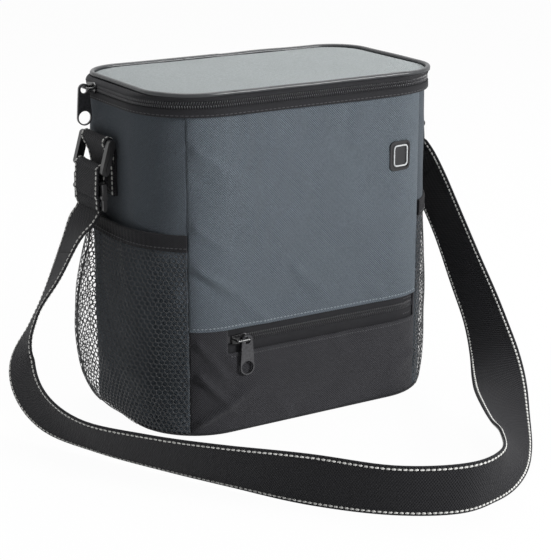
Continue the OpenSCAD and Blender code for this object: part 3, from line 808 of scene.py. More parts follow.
def belt(name, centre, wide, body, *nodes):
    """Webbing along a line, with pale stitches near both edges of both faces."""
    along = unit(np.gradient(centre, axis=0))
    wide = unit(wide - along * np.sum(wide * along, axis=1, keepdims=True))
    face = np.cross(along, wide)
    piece = sweep(name, centre, wide, face, belt_profile())
    sew(piece, body, ribbed_webbing(), "webbing", *nodes)
    seams = []
    for edge, hand in ((-1, "left"), (1, "right")):
        for side, turned in ((-1, "inner"), (1, "outer")):
            path = centre + wide * edge * (STRAP_W / 2 - EDGE_SEAM) + face * side * (STRAP_T / 2 + 0.05)
            seams.append(stitch_line(
                f"{name}_stitches_{hand}_{turned}", path, face * side, body, pale_thread(), "webbing",
                sizes().edge_stitch / MM, share=0.78, width=1.6, height=1.2))
    return piece, seams


class COOLER_OT_shoulder_strap(bpy.types.Operator):
    """Shoulder strap: its long run, and a lead at each end by the ring"""
    bl_idname = "cooler.shoulder_strap"
    bl_label = "Shoulder strap"

    SEWN_PLY = [(143.9, 20, 190.6), (144.7, 20, 183), (145.1, 20, 177), (145.4, 20, 169)]
    UNDER_LOOP = [(-131.5, 20, 154), (-132.8, 20, 156.5), (-133, 20, 160), (-132.4, 20, 162.4)]

    def execute(self, context):
        route = spline(STRAP_ROUTE, 8)
        centre, wide = route[:, :3], route[:, 3:]
        reach = run_length(centre)
        middle = (reach >= LEAD) & (reach <= reach[-1] - LEAD)
        strap, seams = belt("shoulder_strap_run", centre[middle], wide[middle], "bag", "shoulder_strap")
        for name, part, ring in (("right", reach <= LEAD + 6, "right_ring"),
                                 ("left", reach >= reach[-1] - LEAD - 6, "left_ring")):
            points, sides = centre[part], wide[part]
            if name == "right":
                lead, clear = spline(self.SEWN_PLY, 4)[:-1], reach[part] > 9
                points = np.vstack([lead, points[clear]])
                sides = np.vstack([np.repeat(sides[:1], len(lead), axis=0), sides[clear]])
            else:
                lead = spline(self.UNDER_LOOP, 4)[1:]
                points = np.vstack([points, lead])
                sides = np.vstack([sides, np.repeat(sides[-1:], len(lead), axis=0)])
            pieces = belt(f"strap_lead_{name}", points, sides, None)
            for piece in (pieces[0], *pieces[1]):
                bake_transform(piece)
        return {"FINISHED"}


def round_bar(centre, start, stop):
    """Middle of webbing wrapped round a bar of the XZ plane, from angle to angle in degrees."""
    angles, radius = np.radians(np.linspace(start, stop, 16)), BAR_R + STRAP_T / 2
    return np.stack([centre[0] + radius * np.cos(angles), centre[1] + radius * np.sin(angles)], -1)


def ring_foot(tilt):
    """Lower bar of a ring that leans out by tilt, in the XZ plane."""
    return BAR_X + RING_PITCH * math.sin(tilt), RING_Z - RING_PITCH * math.cos(tilt)


def bearing(start, end):
    """Direction from a point of the XZ plane to another, in degrees."""
    return math.degrees(math.atan2(end[1] - start[1], end[0] - start[0]))


def stepped(corners, steps):
    """Points on the straight lines from corner to corner, steps to each line."""
    return [(a + (c - a) * k / steps, b + (d - b) * k / steps)
            for (a, b), (c, d) in zip(corners[:-1], corners[1:]) for k in range(steps)]


def flat_belt(name, line, side, body, *nodes):
    """Webbing across the bag's side through points of the XZ plane."""
    line = np.asarray(line, float)
    centre = np.stack([side * line[:, 0], np.full(len(line), ANCHOR_Y), line[:, 1]], -1)
    return belt(name, centre, np.broadcast_to((0.0, 1.0, 0.0), centre.shape), body, *nodes)


class COOLER_OT_rings(bpy.types.Operator):
    """Sewn tabs, moulded rings, the adjuster and the loops that hold them together"""
    bl_idname = "cooler.rings"
    bl_label = "Rings and adjuster"

    def execute(self, context):
        for side, name in ((-1, "left"), (1, "right")):
            self.tab(side, name)
        dress(moulded_nylon(), "ring_left", "ring_right", "strap_adjuster")
        for node in ("ring_left", "ring_right", "strap_adjuster"):
            soften(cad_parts[node], 0.4)
        self.loops()
        return {"FINISHED"}

    def tab(self, side, name):
        """Webbing over a ring's upper bar, with both its ends sewn to the side"""
        wall = BODY.shape[0]
        outer_x = wall + 0.1 + 1.5 * STRAP_T
        down = [(outer_x, RING_Z - 38), (outer_x, RING_Z - 30), (outer_x, RING_Z - 22),
                (outer_x + 0.3, RING_Z - 17), (outer_x + 1.6, RING_Z - 11)]
        back = [(wall + 1.6, RING_Z - 2.6), (wall + 1.0, RING_Z - 8), (wall + 1.0, RING_Z - 16),
                (wall + 1.0, RING_Z - 28), (wall + 1.0, RING_Z - 38)]
        line = np.vstack([down, round_bar((BAR_X, RING_Z), -30, 150), back])
        flat_belt(f"sewn_tab_{name}", line, side, "bag", f"anchor_tab_{name}")
        y0, y1, z0, z1 = ANCHOR_Y - 15, ANCHOR_Y + 15, RING_Z - 36.5, RING_Z - 22
        box = [(y0, z0), (y1, z0), (y1, z1), (y0, z1), (y0, z0), (y1, z1)]
        path = [(side * (outer_x + STRAP_T / 2 + 0.05), y, z) for y, z in stepped(box, 4)]
        stitch_line(f"tab_box_stitches_{name}", path, (float(side), 0.0, 0.0), "bag", dark_thread(),
                    "webbing", 2.6, width=0.8, height=0.5)

    def loops(self):
        """Webbing from the left ring to the adjuster, and from the right ring to the strap"""
        bar = ring_foot(TILT_LEFT)
        adjuster = (bar[0] + 1, bar[1] - 18)
        lean = bearing(bar, adjuster)
        line = np.vstack([round_bar(bar, lean + 90, lean + 270), round_bar(adjuster, lean - 90, lean + 90)])
        line = np.vstack([line, line[:1] + (line[1:2] - line[:1]) * 0.5])
        flat_belt("webbing_loop_left", line, -1, "left_ring", "strap_loop_left")
        bar = ring_foot(TILT_RIGHT)
        sewn = (bar[0] + 3, bar[1] - 9)
        lean = bearing(bar, sewn)
        line = np.vstack([[(sewn[0] - 0.6, sewn[1] - 0.6)], round_bar(bar, lean + 270, lean + 90),
                          [(sewn[0] + 0.4, sewn[1] - 0.2)]])
        flat_belt("webbing_loop_right", line, 1, "right_ring", "strap_loop_right")


# ---- body panels -------------------------------------------------------------


def body_swell(s, z):
    """The walls' own soft outward curve, the same for all panels."""
    level = np.clip(z / WALL_TOP, 0, 1)
    return 0.5 * np.sin(math.pi * level) + 0.35 * ripple(s, z, 90, 3) * np.sin(math.pi * level) ** 0.5


def held_by_seam(edge):
    """Share of a panel's folds that is left, by the distance to the seam that holds it."""
    return np.clip((edge + 2) / 9, 0.1, 1)


def held_at_ends(z):
    """Share of a panel's folds that is left, by the height over the base and under the band."""
    return np.clip((z + 1) / 8, 0, 1) * np.clip((BAND_Z + 6 - z) / 14, 0, 1)


class COOLER_OT_front_panel(bpy.types.Operator):
    """Grey front panel with its hem stitched over the pocket"""
    bl_idname = "cooler.front_panel"
    bl_label = "Front panel"

    HEM_Z = 79.2                         # stitches along the hem
    FOLDS = [((-92, 206), (-56, 178), 4.0, 2.2), ((-93, 190), (-70, 170), 3.5, -1.6),
             ((-93, 152), (-62, 128), 3.2, 2.4), ((-92, 122), (-52, 94), 3.6, 2.8),
             ((-93, 120), (-68, 96), 3.5, -1.8), ((-14, 112), (16, 84), 5.0, 1.8),
             ((92, 150), (66, 124), 4.0, 1.4), ((92, 205), (70, 216), 4.0, 1.2),
             ((-60, 228), (-76, 192), 5.0, -1.8), ((30, 228), (22, 190), 7.0, -1.2),
             ((-40, 80), (-66, 104), 5.0, 1.6), ((60, 80), (40, 102), 6.0, 1.2)]

    def execute(self, context):
        def relief(s, z):
            out = creased(body_swell(s, z) + 0.5 * ripple(s, z, 38, 7), s, z, self.FOLDS)
            out = out * held_by_seam(SEAM - np.abs(s)) * np.clip((z - POCKET_Z + 4) / 9, 0, 1)
            folded = 0.5 * np.exp(-((z - POCKET_Z - 0.6) / 1.0) ** 2)
            stitched = -0.4 * np.exp(-((z - self.HEM_Z) / 0.9) ** 2)
            return np.maximum(out, -0.5) + folded + stitched + tuck(SEAM - np.abs(s)) + 0.15

        us = np.linspace(-SEAM - 0.4, SEAM + 0.4, 112)
        vs = np.concatenate([np.linspace(POCKET_Z, POCKET_Z + 8, 12),
                             np.linspace(POCKET_Z + 10, BAND_Z + 2.5, 70)])
        piece = cloth("front_cloth", us, vs, lambda s, z: on_wall(s, z, relief(s, z)))
        thicken(piece, 0.9)
        sew(piece, "bag", woven_canvas(), "grey_canvas", "front_panel")
        s = np.linspace(-SEAM + 2, SEAM - 2, 120)
        z = np.full_like(s, self.HEM_Z)
        path, out = ring_path(BODY, s, z, relief(s, z) + 0.12)
        stitch_line("front_hem_stitches", path, out, "bag", grey_thread(), "grey_canvas",
                    sizes().stitch / MM, share=0.66, width=0.9, height=0.6)
        return {"FINISHED"}


class COOLER_OT_front_pocket(bpy.types.Operator):
    """Black pocket with its zip let in under the grey hem"""
    bl_idname = "cooler.front_pocket"
    bl_label = "Front pocket"

    FOLDS = [((-91, 68), (-64, 34), 3.0, 3.6), ((-90, 10), (-46, 34), 3.4, 4.4),
             ((-90, 44), (-62, 12), 3.2, 3.8), ((-76, 57), (-64, 32), 4.0, -2.0),
             ((92, 30), (62, 20), 6.0, 2.0), ((20, 57), (38, 26), 8.0, 1.2),
             ((-20, 4), (-38, 24), 6.0, 1.8)]
    PULL_S = -56.0                       # arc length that the zip's pull hangs at

    def execute(self, context):
        left, right = BODY.length_at(-70), BODY.length_at(92)

        def relief(s, z):
            out = body_swell(s, z) + 0.4 * ripple(s, z, 30, 11)
            out = out + 1.8 * np.exp(-((s + 42) / 26) ** 2 - ((z - 24) / 16) ** 2)
            out = creased(out, s, z, self.FOLDS) * held_by_seam(SEAM - np.abs(s)) * held_at_ends(z)
            fold = 0.5 * np.exp(-((z - FOLD_Z + 0.6) / 1.2) ** 2) * (s > left - 4) * (s < right + 4)
            stitched = -0.35 * np.exp(-((z - 56.6) / 0.8) ** 2) * (s > left - 2)
            # pressed flat where the pull swings
            reach = np.hypot(s - self.PULL_S, z - POCKET_ZIP_Z)
            out = np.minimum(out, 0.9 + 0.3 * np.clip(reach - 30, 0, 20))
            return np.maximum(out, -0.5) + fold + stitched + tuck(SEAM - np.abs(s)) - 0.05

        us = np.concatenate([np.linspace(-SEAM - 0.4, left, 18), np.linspace(left, right, 84)[1:],
                             np.linspace(right, SEAM + 0.4, 5)[1:]])
        vs = np.concatenate([np.linspace(FLOOR_Z, FOLD_Z, 46), np.linspace(FOLD_Z, POCKET_Z + 1, 12)[1:]])
        piece = cloth("pocket_cloth", us, vs, lambda s, z: on_wall(s, z, relief(s, np.minimum(z, 76))),
                      keep=lambda s, z: (z < FOLD_Z) | (s < left) | (s > right))
        thicken(piece, 0.9)
        sew(piece, "bag", woven_black_canvas(), "black_canvas", "pocket_panel")
        dress(woven_black_canvas(), "pocket_backing")
        self.tapes(left, right)
        self.seams(left, right, relief)
        return {"FINISHED"}

    def tapes(self, left, right):
        """Two tapes in the opening, each with its row of teeth"""
        depth = -1.5
        for name, z0, z1 in (("lower", 57.5, 67.0), ("upper", 71.5, 78.5)):
            tape = cloth(f"pocket_tape_cloth_{name}", np.linspace(left - 4, right + 2, 60),
                         np.linspace(z0, z1, 8),
                         lambda s, z: on_wall(s, z, depth + 0.4 + 0.15 * ripple(s, z, 18, 5)))
            thicken(tape, 0.8)
            sew(tape, "bag", folded_binding(), "zip_tape", f"pocket_tape_{name}")
        zip_coils("pocket_teeth", left + 2, right - 1, POCKET_ZIP_Z, depth, "bag", "pocket_coil_{}")
        zip_fittings("pocket_zip")

    def seams(self, left, right, relief):
        """Dark seams: under the fold, and the box round the zip's right end"""
        s = np.linspace(left + 2, right + 1, 90)
        path, out = ring_path(BODY, s, 56.6 + 0 * s, relief(s, 56.6 + 0 * s) + 0.12)
        stitch_line("pocket_fold_stitches", path, out, "bag", dark_thread(), "black_canvas",
                    sizes().stitch / MM * 0.8, width=0.8, height=0.5)
        corners = [(right - 12, 62.6), (right - 2, 62.6), (right - 2, 74.4), (right - 12, 74.4)]
        rows = np.array(stepped(corners, 5) + [corners[-1]])
        path, out = ring_path(BODY, rows[:, 0], rows[:, 1], -1.0)
        stitch_line("pocket_zip_end_stitches", path, out, "bag", dark_thread(), "black_canvas", 2.2,
                    width=0.8, height=0.5)


def zip_coils(name, s0, s1, z, depth, upper_body, node):
    """Turns of a nylon coil along both sides of a zip, hooked over its middle at height z"""
    pitch = sizes().tooth / MM
    for row, lean, body, shift in (("lower", -1, "bag", 0.0), ("upper", 1, upper_body, 0.5)):
        s = s0 + (np.arange(int((s1 - s0) / pitch)) + shift) * pitch
        x, y, nx, ny = BODY.at(s, depth)
        origins = np.stack([x, y, z + lean * 1.25 + 0 * x], -1)
        out = np.stack([nx, ny, 0 * nx], -1)
        run = np.stack([-ny, nx, 0 * nx], -1)
        along = unit(UP * lean + run * 0.28)
        across = unit(np.cross(out, along))
        piece = strew(f"{name}_{row}", grain(3.0, pitch * 0.74, 2.0), origins, along, across, out)
        sew(piece, body, coiled_nylon(), "zip_coil", node.format(row))


def zip_fittings(name):
    """Stops, slider and pull of a zip, which keep the frame's own shape"""
    dress(coiled_nylon(), f"{name}_stops")
    dress(enamelled_zinc(), f"{name}_slider", f"{name}_pull")
    soften(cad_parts[f"{name}_slider"], 0.25)
    soften(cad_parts[f"{name}_pull"], 0.35)


class COOLER_OT_side_panels(bpy.types.Operator):
    """Grey sides, partly under the net pockets"""
    bl_idname = "cooler.side_panels"
    bl_label = "Side panels"

    FOLDS = [((REAR_SEAM, 214), (205, 190), 6, 0.8), ((SEAM, 208), (128, 192), 5, 0.7)]

    def execute(self, context):
        for side, name in ((-1, "left"), (1, "right")):
            def relief(s, z):
                out = body_swell(s, z) + 0.35 * ripple(s, z, 40, 17 + side)
                out = creased(out, np.abs(s), z, self.FOLDS)
                edge = np.minimum(np.abs(s) - SEAM, REAR_SEAM - np.abs(s))
                # flat under the sewn tab
                flat = np.exp(-(((np.abs(s) - 184) / 26) ** 4) - ((z - 178) / 30) ** 4)
                out = out * held_at_ends(z) * held_by_seam(edge) * (1 - 0.9 * flat)
                return np.maximum(out, -0.5) + tuck(edge) - 0.1
            us = np.linspace(SEAM - 0.4, REAR_SEAM + 0.4, 78) * side
            if side < 0:
                us = us[::-1]
            piece = cloth(f"side_cloth_{name}", us, np.linspace(FLOOR_Z, BAND_Z + 2.5, 92),
                          lambda s, z: on_wall(s, z, np.minimum(relief(s, z), 0.9)))
            thicken(piece, 0.8)
            sew(piece, "bag", woven_shaded_side_canvas(), "side_canvas", f"side_panel_{name}")
        return {"FINISHED"}


class COOLER_OT_back_and_base(bpy.types.Operator):
    """Back panel, base panel and the welt round the base"""
    bl_idname = "cooler.back_and_base"
    bl_label = "Back and base"

    FOLDS = [((REAR_SEAM, 190), (270, 168), 6, 1.0), ((REAR_SEAM, 96), (276, 70), 7, 1.1),
             ((FAR_SEAM, 150), (404, 126), 6, 1.0), ((FAR_SEAM, 60), (400, 44), 7, 1.0),
             ((330, 228), (322, 190), 8, -0.7)]

    def execute(self, context):
        def relief(s, z):
            edge = np.minimum(s - REAR_SEAM, FAR_SEAM - s)
            out = creased(body_swell(s, z) + 0.45 * ripple(s, z, 46, 23), s, z, self.FOLDS)
            return np.maximum(out * held_at_ends(z) * held_by_seam(edge), -0.5) + tuck(edge)

        piece = cloth("back_cloth", np.linspace(REAR_SEAM - 0.4, FAR_SEAM + 0.4, 102),
                      np.linspace(FLOOR_Z, BAND_Z + 2.5, 90), lambda s, z: on_wall(s, z, relief(s, z)))
        thicken(piece, 0.9)
        sew(piece, "bag", woven_shaded_side_canvas(), "side_canvas", "back_panel")

        s = np.linspace(-HALF_WAY, HALF_WAY, 220)

        def under(s, share):
            x, y, _, _ = BODY.at(s, -0.6)
            lift = 0.12 + 0.25 * ripple(x * share, y * share, 50, 29) * np.sin(math.pi * share)
            return x * share, y * share, np.abs(lift)
        base = cloth("base_cloth", s, np.linspace(0, 1, 24), under, plan_uv=True)
        thicken(base, 0.9)
        sew(base, "bag", woven_black_canvas(), "black_canvas", "base_panel")
        path, out = ring_path(BODY, s[:-1], 1.5, -0.9)
        welt = sweep("base_welt", path, out, UP, round_profile(1.25, 8), closed=True)
        sew(welt, "bag", folded_binding(), "binding")
        return {"FINISHED"}


# ---- lining ------------------------------------------------------------------


class COOLER_OT_lining(bpy.types.Operator):
    """Crinkled foil lining, the binding round its mouth and the foam behind"""
    bl_idname = "cooler.lining"
    bl_label = "Lining"

    def execute(self, context):
        inner = -8.0
        s = np.linspace(-HALF_WAY, HALF_WAY, 260)

        def wall(s, z):
            crinkle = 0.5 * ripple(s, z, 26, 31) + 0.35 * ripple(s, z, 11, 37)
            fade = np.clip((z - 6) / 10, 0, 1) * np.clip((WALL_TOP - 8 - z) / 10, 0, 1)
            x, y, _, _ = BODY.at(s, inner + 0.1 + np.clip(crinkle * fade, -1.4, 0.5))
            return x, y, z
        sides = cloth("lining_walls", s[::-1], np.linspace(6.2, WALL_TOP - 0.1, 80), wall)
        thicken(sides, 0.35)
        sew(sides, "bag", foil_film(), "silver_liner", "liner_tub")

        def bottom(s, share):
            x, y, _, _ = BODY.at(s, inner + 0.1)
            x, y = x * share, y * share
            lift = 0.5 * ripple(x, y, 30, 41) + 0.3 * ripple(x, y, 12, 43)
            return x, y, 6.3 + np.clip(lift * np.sin(math.pi * share), -0.4, 1.0)
        floor = cloth("lining_floor", s, np.linspace(1, 0, 40), bottom, plan_uv=True)
        thicken(floor, 0.35)
        sew(floor, "bag", foil_film(), "silver_liner")
        dress(foam_sheet(), "foam_front", "foam_back", "foam_left", "foam_right", "foam_base")

        path, out = ring_path(BODY, s[:-1], WALL_TOP, 0.0)
        hook = [(-0.5, 0.1), (-0.5, 0.8), (-1.2, 1.2), (-7.6, 1.2), (-8.7, 0.9), (-9.1, 0.0), (-9.1, -7.4),
                (-8.9, -7.9), (-8.4, -7.9), (-8.2, -7.2), (-8.2, -0.2), (-7.4, 0.1)]
        binding = sweep("mouth_binding_cloth", path, out, UP, hook, closed=True)
        sew(binding, "bag", folded_binding(), "binding", "mouth_binding")
        path, out = ring_path(BODY, s[:-1], WALL_TOP - 6.2, -9.15)
        stitch_line("mouth_binding_stitches", path, -out, "bag", dark_thread(), "binding", 3.6,
                    width=0.7, height=0.5)
        return {"FINISHED"}


# ---- lid and zip -------------------------------------------------------------


class COOLER_OT_lid(bpy.types.Operator):
    """Lid: its grey top, glossy piping, side band, foam and foil"""
    bl_idname = "cooler.lid"
    bl_label = "Lid"

    def execute(self, context):
        s = np.linspace(-HALF_WAY, HALF_WAY, 260)
        edge = 2 * PIPING_R

        def crown(x, y, share):
            """Height of the lid's cloth: full over the foam, tucked in beside the piping"""
            rise = 1.1 * (1 - share ** 6) + 0.3 * ripple(x, y, 60, 47) * (1 - share ** 8)
            return rise - 1.0 * np.exp(-(1 - share) * 60 / 2.4)

        def top(s, share):
            x, y, _, _ = LID.at(s, -edge + 0.3)
            x, y = x * share, y * share
            return x, y, TOP_Z - 1.7 + crown(x, y, share)
        panel = cloth("lid_cloth", s, np.linspace(1, 0, 46) ** 0.8, top, plan_uv=True)
        thicken(panel, 0.9)
        sew(panel, "lid", woven_lit_lid_canvas(), "grey_canvas", "lid_panel")

        wave = 0.16 * ripple(s[:-1], 0 * s[:-1], 44, 53)
        path, out = ring_path(LID, s[:-1], TOP_Z - PIPING_R + wave, -PIPING_R + 0.5 * wave)
        piping = sweep("piping_cord", path, out, UP, round_profile(PIPING_R, 16), closed=True)
        sew(piping, "lid", vinyl_piping(), "piping_vinyl", "lid_piping")

        def side(s, share):
            bx, by, _, _ = BODY.at(s, BAND_OUT)
            lx, ly, _, _ = LID.at(s, -0.1)
            bow = 0.5 * np.sin(math.pi * share)
            x, y = bx + (lx - bx) * share ** 1.5, by + (ly - by) * share ** 1.5
            return x, y, TOP_Z - 6.0 + 3.0 * share + bow
        band = cloth("lid_side_band", s, np.linspace(0, 1, 7), side)
        thicken(band, 0.8)
        sew(band, "lid", folded_binding(), "binding", "upper_band")

        def under(s, share):
            x, y, _, _ = LID.at(s, -5.0)
            x, y = x * share, y * share
            lift = 0.4 * ripple(x, y, 34, 59) + 0.25 * ripple(x, y, 12, 61)
            return x, y, TOP_Z - 9.4 + np.clip(lift, -0.7, 0.4) * np.sin(math.pi * share) ** 0.5
        liner = cloth("lid_lining", s, np.linspace(0, 1, 40), under, plan_uv=True)
        thicken(liner, 0.35)
        sew(liner, "lid", foil_film(), "silver_liner", "lid_liner")
        dress(foam_sheet(), "lid_foam")
        path, out = ring_path(LID, s[:-1], TOP_Z - 9.8, -4.9)
        tape = [(0.2, 6.2), (0.6, 6.2), (0.65, 0.4), (0.3, -0.3), (-0.6, -0.5), (-7.4, -0.5),
                (-8.0, -0.2), (-8.0, 0.3), (0.1, 0.5)]
        border = sweep("lid_binding_tape", path, out, UP, tape, closed=True)
        sew(border, "lid", folded_binding(), "binding", "lid_binding")
        return {"FINISHED"}


class COOLER_OT_lid_hinge(bpy.types.Operator):
    """Cloth that joins the lid to the back"""
    bl_idname = "cooler.lid_hinge"
    bl_label = "Lid hinge"

    def execute(self, context):
        low, high, flat = BAND_Z + 3, TOP_Z - 5.6, BODY.own[4]
        middle = self.strip("hinge_cloth", flat, 2 * HALF_WAY - flat, low, high, 22)
        sew(middle, None, folded_binding(), "binding", "hinge_strip", "hinge_flap")
        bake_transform(middle)
        # the corners part between the zip's end and the fold, so that they don't drag
        for name, start, stop in (("right", ZIP_END + 2.2, flat),
                                  ("left", 2 * HALF_WAY - flat, 2 * HALF_WAY - ZIP_END - 2.2)):
            for body, z0, z1 in (("bag", low, ZIP_Z - 0.1), ("lid", ZIP_Z + 0.1, high)):
                corner = self.strip(f"hinge_corner_{name}_{body}", start, stop, z0, z1, 9)
                sew(corner, body, folded_binding(), "binding")
        return {"FINISHED"}

    def strip(self, name, start, stop, z0, z1, rows):
        def hinge(s, z):
            return on_wall(s, z, 2.1 + 0.2 * np.sin((z - ZIP_Z) * 1.2) + 0.1 * ripple(s, z, 20, 67))
        count = int((stop - start) / 2.4) + 2
        return thicken(cloth(name, np.linspace(start, stop, count), np.linspace(z0, z1, rows), hinge), 0.6)


class COOLER_OT_main_zip(bpy.types.Operator):
    """Band round the mouth, the zip's two rows of teeth, its slider and pull"""
    bl_idname = "cooler.main_zip"
    bl_label = "Main zip"

    def execute(self, context):
        s = np.linspace(-HALF_WAY, HALF_WAY, 300)
        wave = 0.18 * ripple(s[:-1], 0 * s[:-1], 50, 71)
        path, out = ring_path(BODY, s[:-1], BAND_Z + wave, 0.0)
        top = ZIP_Z - 3.0 - BAND_Z
        hem = [(0.4, 0.1), (1.6, -0.15), (2.3, 0.05), (2.75, 0.7), (2.6, 1.5), (2.75, 2.6),
               (2.6, top - 0.2), (2.2, top), (1.8, top - 0.2), (1.8, 1.3), (0.4, 1.3)]
        band = sweep("mouth_band", path, out, UP, hem, closed=True)
        sew(band, "bag", folded_binding(), "binding", "lower_band")
        path, out = ring_path(BODY, s[:-1], BAND_Z + 1.6, 2.62)
        stitch_line("mouth_band_stitches", path, out, "bag", dark_thread(), "binding", 3.4,
                    width=0.6, height=0.45)
        run = np.linspace(-ZIP_END, ZIP_END, 240)
        for name, z0, z1, body in (("lower", BAND_Z + 1.5, ZIP_Z - 2.2, "bag"),
                                   ("upper", ZIP_Z + 2.2, TOP_Z - 5.5, "lid")):
            tape = cloth(f"main_tape_{name}", run, np.linspace(z0, z1, 5),
                         lambda s, z: on_wall(s, z, 1.7))
            thicken(tape, 0.7)
            sew(tape, body, folded_binding(), "zip_tape", f"{name}_zip_tape")
        zip_coils("main_teeth", -ZIP_END, ZIP_END, ZIP_Z, 1.3, "lid", "{}_zip_coil")
        zip_fittings("main_zip")
        return {"FINISHED"}


# ---- net pockets and patch ---------------------------------------------------


NET_FULL, MOUTH_FULL = 20.0, 5.0         # how far the net bellies out, and its elastic edge


def net_off(u, z):
    """How far the net stands off the side, at share u between the seams"""
    level = np.clip(z / (NET_TOP + 4), 0, 1)
    fullness = np.sin(math.pi * u ** 1.6) * np.clip(np.sin(math.pi * level ** 0.8), 0, 1) ** 0.8
    mouth = np.sin(math.pi * u) ** 2 * np.clip(z / ELASTIC_TOP, 0, 1) ** 4
    return 0.3 + NET_FULL * fullness + MOUTH_FULL * mouth


class COOLER_OT_net_pockets(bpy.types.Operator):
    """Knitted net with an elastic edge on each side"""
    bl_idname = "cooler.net_pockets"
    bl_label = "Net pockets"

    DART = 0.70                          # share along the side where the net is darted
    FOLDS = [((196, 136), (150, 20), 5.0, 3.0), ((184, 136), (138, 40), 4.0, -1.6),
             ((150, 136), (122, 60), 5.0, 1.8), ((104, 8), (150, 66), 6.0, 2.2)]

    def execute(self, context):
        for side, name in ((-1, "left"), (1, "right")):
            self.net(side, name)
            self.elastic(side, name)
            self.dart(side, name)
        return {"FINISHED"}

    def place(self, side, a, z):
        """A point of the net at arc length a and height z"""
        u = np.clip((a - SEAM) / (REAR_SEAM - SEAM), 0.0, 1.0)
        off = net_off(u, z) + 0.5 * ripple(a, z, 30, 73 + side) * np.sin(math.pi * u)
        off = creased(off, a, z, self.FOLDS)
        dart = 1.5 * np.exp(-((u - self.DART - 0.05 * np.sin(z / 40)) / 0.025) ** 2)
        off = off - dart * np.clip(z / 30, 0, 1) * np.clip((130 - z) / 40, 0, 1)
        x, y, _, _ = BODY.at(a, np.maximum(off, 0.3))
        return np.stack([side * x, y, z + 0 * x], -1)

    def net(self, side, name):
        cell, strand = sizes().cell / MM, sizes().strand / MM
        radius = cell / math.sqrt(3)
        points, faces, index = [], [], {}

        def corner(p):
            key = (round(p[0], 2), round(p[1], 2))
            if key not in index:
                index[key] = len(points)
                points.append(p)
            return index[key]
        angles = np.radians(np.arange(30, 390, 60))
        hexagon = np.stack([np.cos(angles), np.sin(angles)], -1)
        middles = (hexagon + np.roll(hexagon, -1, axis=0)) / 2
        # a hole of twelve corners, rounded where the hexagon is sharp
        inner = np.stack([hexagon * 0.93, middles * 1.03], 1).reshape(12, 2)
        inner = inner * (radius - strand / math.sqrt(3))
        row, z = 0, FLOOR_Z + radius
        while z < NET_TOP + 0.8:
            a = SEAM + 0.6 + (cell / 2 if row % 2 else 0)
            while a < REAR_SEAM - 0.6:
                outer = [corner((a + radius * p[0], z + radius * p[1])) for p in hexagon]
                hole = []
                for p in inner:
                    hole.append(len(points))
                    points.append((a + p[0], z + p[1]))
                for k in range(6):
                    faces.append((outer[k], outer[(k + 1) % 6], hole[2 * k + 1], hole[2 * k]))
                    faces.append((outer[(k + 1) % 6], hole[(2 * k + 2) % 12], hole[2 * k + 1]))
                a += cell
            row, z = row + 1, z + 1.5 * radius
        flat = np.array(points)
        flat[:, 0] = np.clip(flat[:, 0], SEAM + 0.2, REAR_SEAM - 0.2)
        flat[:, 1] = np.clip(flat[:, 1], FLOOR_Z + 0.1, NET_TOP + 1)
        if side < 0:
            faces = [face[::-1] for face in faces]
        piece = mesh_piece(f"net_{name}", self.place(side, flat[:, 0], flat[:, 1]), faces, flat)
        thicken(piece, 0.35)
        sew(piece, "bag", knitted_net(), "net", f"mesh_pocket_{name}")

    def elastic(self, side, name):
        a = np.linspace(SEAM + 0.3, REAR_SEAM - 0.3, 150)
        u = (a - SEAM) / (REAR_SEAM - SEAM)
        levels = np.linspace(0, 1, 9)
        gather = 0.35 * np.sin(a * 2 * math.pi / 4.2 + 1.5 * np.sin(a / 11)) * np.sin(math.pi * u) ** 0.3
        rows = [*levels, *levels[::-1]]
        outer = len(levels)
        points, faces = [], []
        for k, share in enumerate(rows):
            z = NET_TOP + (ELASTIC_TOP - NET_TOP) * share
            round_off = 0.5 * (1 - (2 * share - 1) ** 6)
            thick = (0.75 + round_off) if k < outer else 0.0
            off = net_off(u, np.full_like(u, z)) + thick + gather * (0.4 + 0.6 * (1 - share)) * 0.8
            x, y, _, _ = BODY.at(a, np.maximum(off, 0.15))
            points.append(np.stack([side * x, y, z + 0.25 * np.sin(a / 9) + 0 * x], -1))
        m, n = len(rows), len(a)
        grid = np.array(points)
        for k in range(m):
            for i in range(n - 1):
                p, q = k * n + i, ((k + 1) % m) * n + i
                faces.append((p, p + 1, q + 1, q))
        faces.append([k * n for k in range(m)])
        faces.append([k * n + n - 1 for k in reversed(range(m))])
        uvs = np.stack(np.broadcast_arrays(a[None, :], 12 * np.array(rows)[:, None]), -1)
        piece = face_out(mesh_piece(f"elastic_edge_{name}", grid, faces, uvs))
        sew(piece, "bag", folded_elastic(), "elastic", f"mesh_band_{name}")
        z = np.full_like(u, NET_TOP + 2.6)
        off = net_off(u, z) + 1.35
        x, y, nx, ny = BODY.at(a, off)
        path = np.stack([side * x, y, z], -1)
        out = np.stack([side * nx, ny, 0 * nx], -1)
        stitch_line(f"elastic_stitches_{name}", path, out, "bag", dark_thread(), "elastic", 3.0,
                    width=0.7, height=0.6)

    def dart(self, side, name):
        """Seam that takes in the net's fullness"""
        z = np.linspace(FLOOR_Z + 1, NET_TOP, 60)
        a = SEAM + (REAR_SEAM - SEAM) * (self.DART + 0.05 * np.sin(z / 40))
        path = self.place(side, a, z)
        _, _, nx, ny = BODY.at(a)
        out = np.stack([side * nx, ny, 0 * nx], -1)
        along = unit(np.gradient(path, axis=0))
        piece = sweep(f"net_dart_{name}", path, out, unit(np.cross(along, out)), round_profile(0.7, 6))
        sew(piece, "bag", knitted_net(), "net")


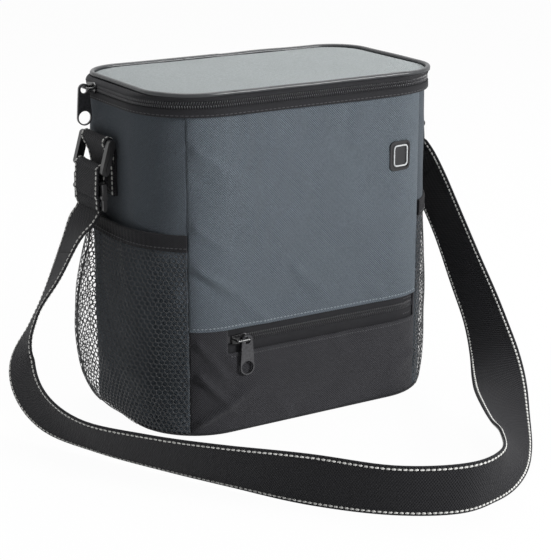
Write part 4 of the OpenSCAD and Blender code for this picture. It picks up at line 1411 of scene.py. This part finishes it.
class COOLER_OT_patch(bpy.types.Operator):
    """Plain rubber patch with a raised rim"""
    bl_idname = "cooler.patch"
    bl_label = "Rubber patch"

    def execute(self, context):
        dress(moulded_rubber(), "rubber_patch")
        soften(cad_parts["rubber_patch"], 0.3)
        low, high = box_of("rubber_patch")
        middle, half = (low + high) / 2, (high - low) / 2 - 3.4
        radius = 2.4
        turns = []
        for cx, cz, start in ((1, 1, 0), (-1, 1, 90), (-1, -1, 180), (1, -1, 270)):
            for a in np.radians(np.linspace(start, start + 90, 7)):
                turns.append((middle[0] + cx * (half[0] - radius) + radius * math.cos(a),
                              middle[2] + cz * (half[2] - radius) + radius * math.sin(a)))
        turns = np.array(turns)
        s = np.array([BODY.length_at(x) for x in turns[:, 0]])
        path, out = ring_path(BODY, s, turns[:, 1], 1.45)
        along = unit(np.roll(path, -1, axis=0) - np.roll(path, 1, axis=0))
        bead = round_profile(0.6, 8)
        rim = sweep("patch_rim", path, out, unit(np.cross(along, out)), bead, closed=True)
        sew(rim, "bag", pale_rubber(), "patch_rubber")
        return {"FINISHED"}


# ---- add-on ------------------------------------------------------------------

OPERATORS = (
    COOLER_OT_stage, COOLER_OT_shoulder_strap, COOLER_OT_rings, COOLER_OT_front_panel,
    COOLER_OT_front_pocket, COOLER_OT_side_panels, COOLER_OT_back_and_base, COOLER_OT_lining,
    COOLER_OT_lid, COOLER_OT_lid_hinge, COOLER_OT_main_zip, COOLER_OT_net_pockets, COOLER_OT_patch)


class COOLER_PT_panel(bpy.types.Panel):
    """Lists the bag's sizes, colours and pieces"""
    bl_label = "Cooler Bag"
    bl_idname = "COOLER_PT_panel"
    bl_space_type = "VIEW_3D"
    bl_region_type = "UI"
    bl_category = "Cooler Bag"

    def draw(self, context):
        for group in (context.scene.cooler_sizes, context.scene.cooler_colours):
            for key in group.__annotations__:
                self.layout.prop(group, key)
        for operator in OPERATORS:
            self.layout.operator(operator.bl_idname)


CLASSES = (CoolerSizes, CoolerColours, *OPERATORS, COOLER_PT_panel)


def register():
    for cls in CLASSES:
        bpy.utils.register_class(cls)
    bpy.types.Scene.cooler_sizes = bpy.props.PointerProperty(type=CoolerSizes)
    bpy.types.Scene.cooler_colours = bpy.props.PointerProperty(type=CoolerColours)


def unregister():
    del bpy.types.Scene.cooler_sizes
    del bpy.types.Scene.cooler_colours
    for cls in reversed(CLASSES):
        bpy.utils.unregister_class(cls)


def main():
    register()
    for operator in OPERATORS:
        group, name = operator.bl_idname.split(".")
        getattr(getattr(bpy.ops, group), name)()


if __name__ == "__main__":
    main()
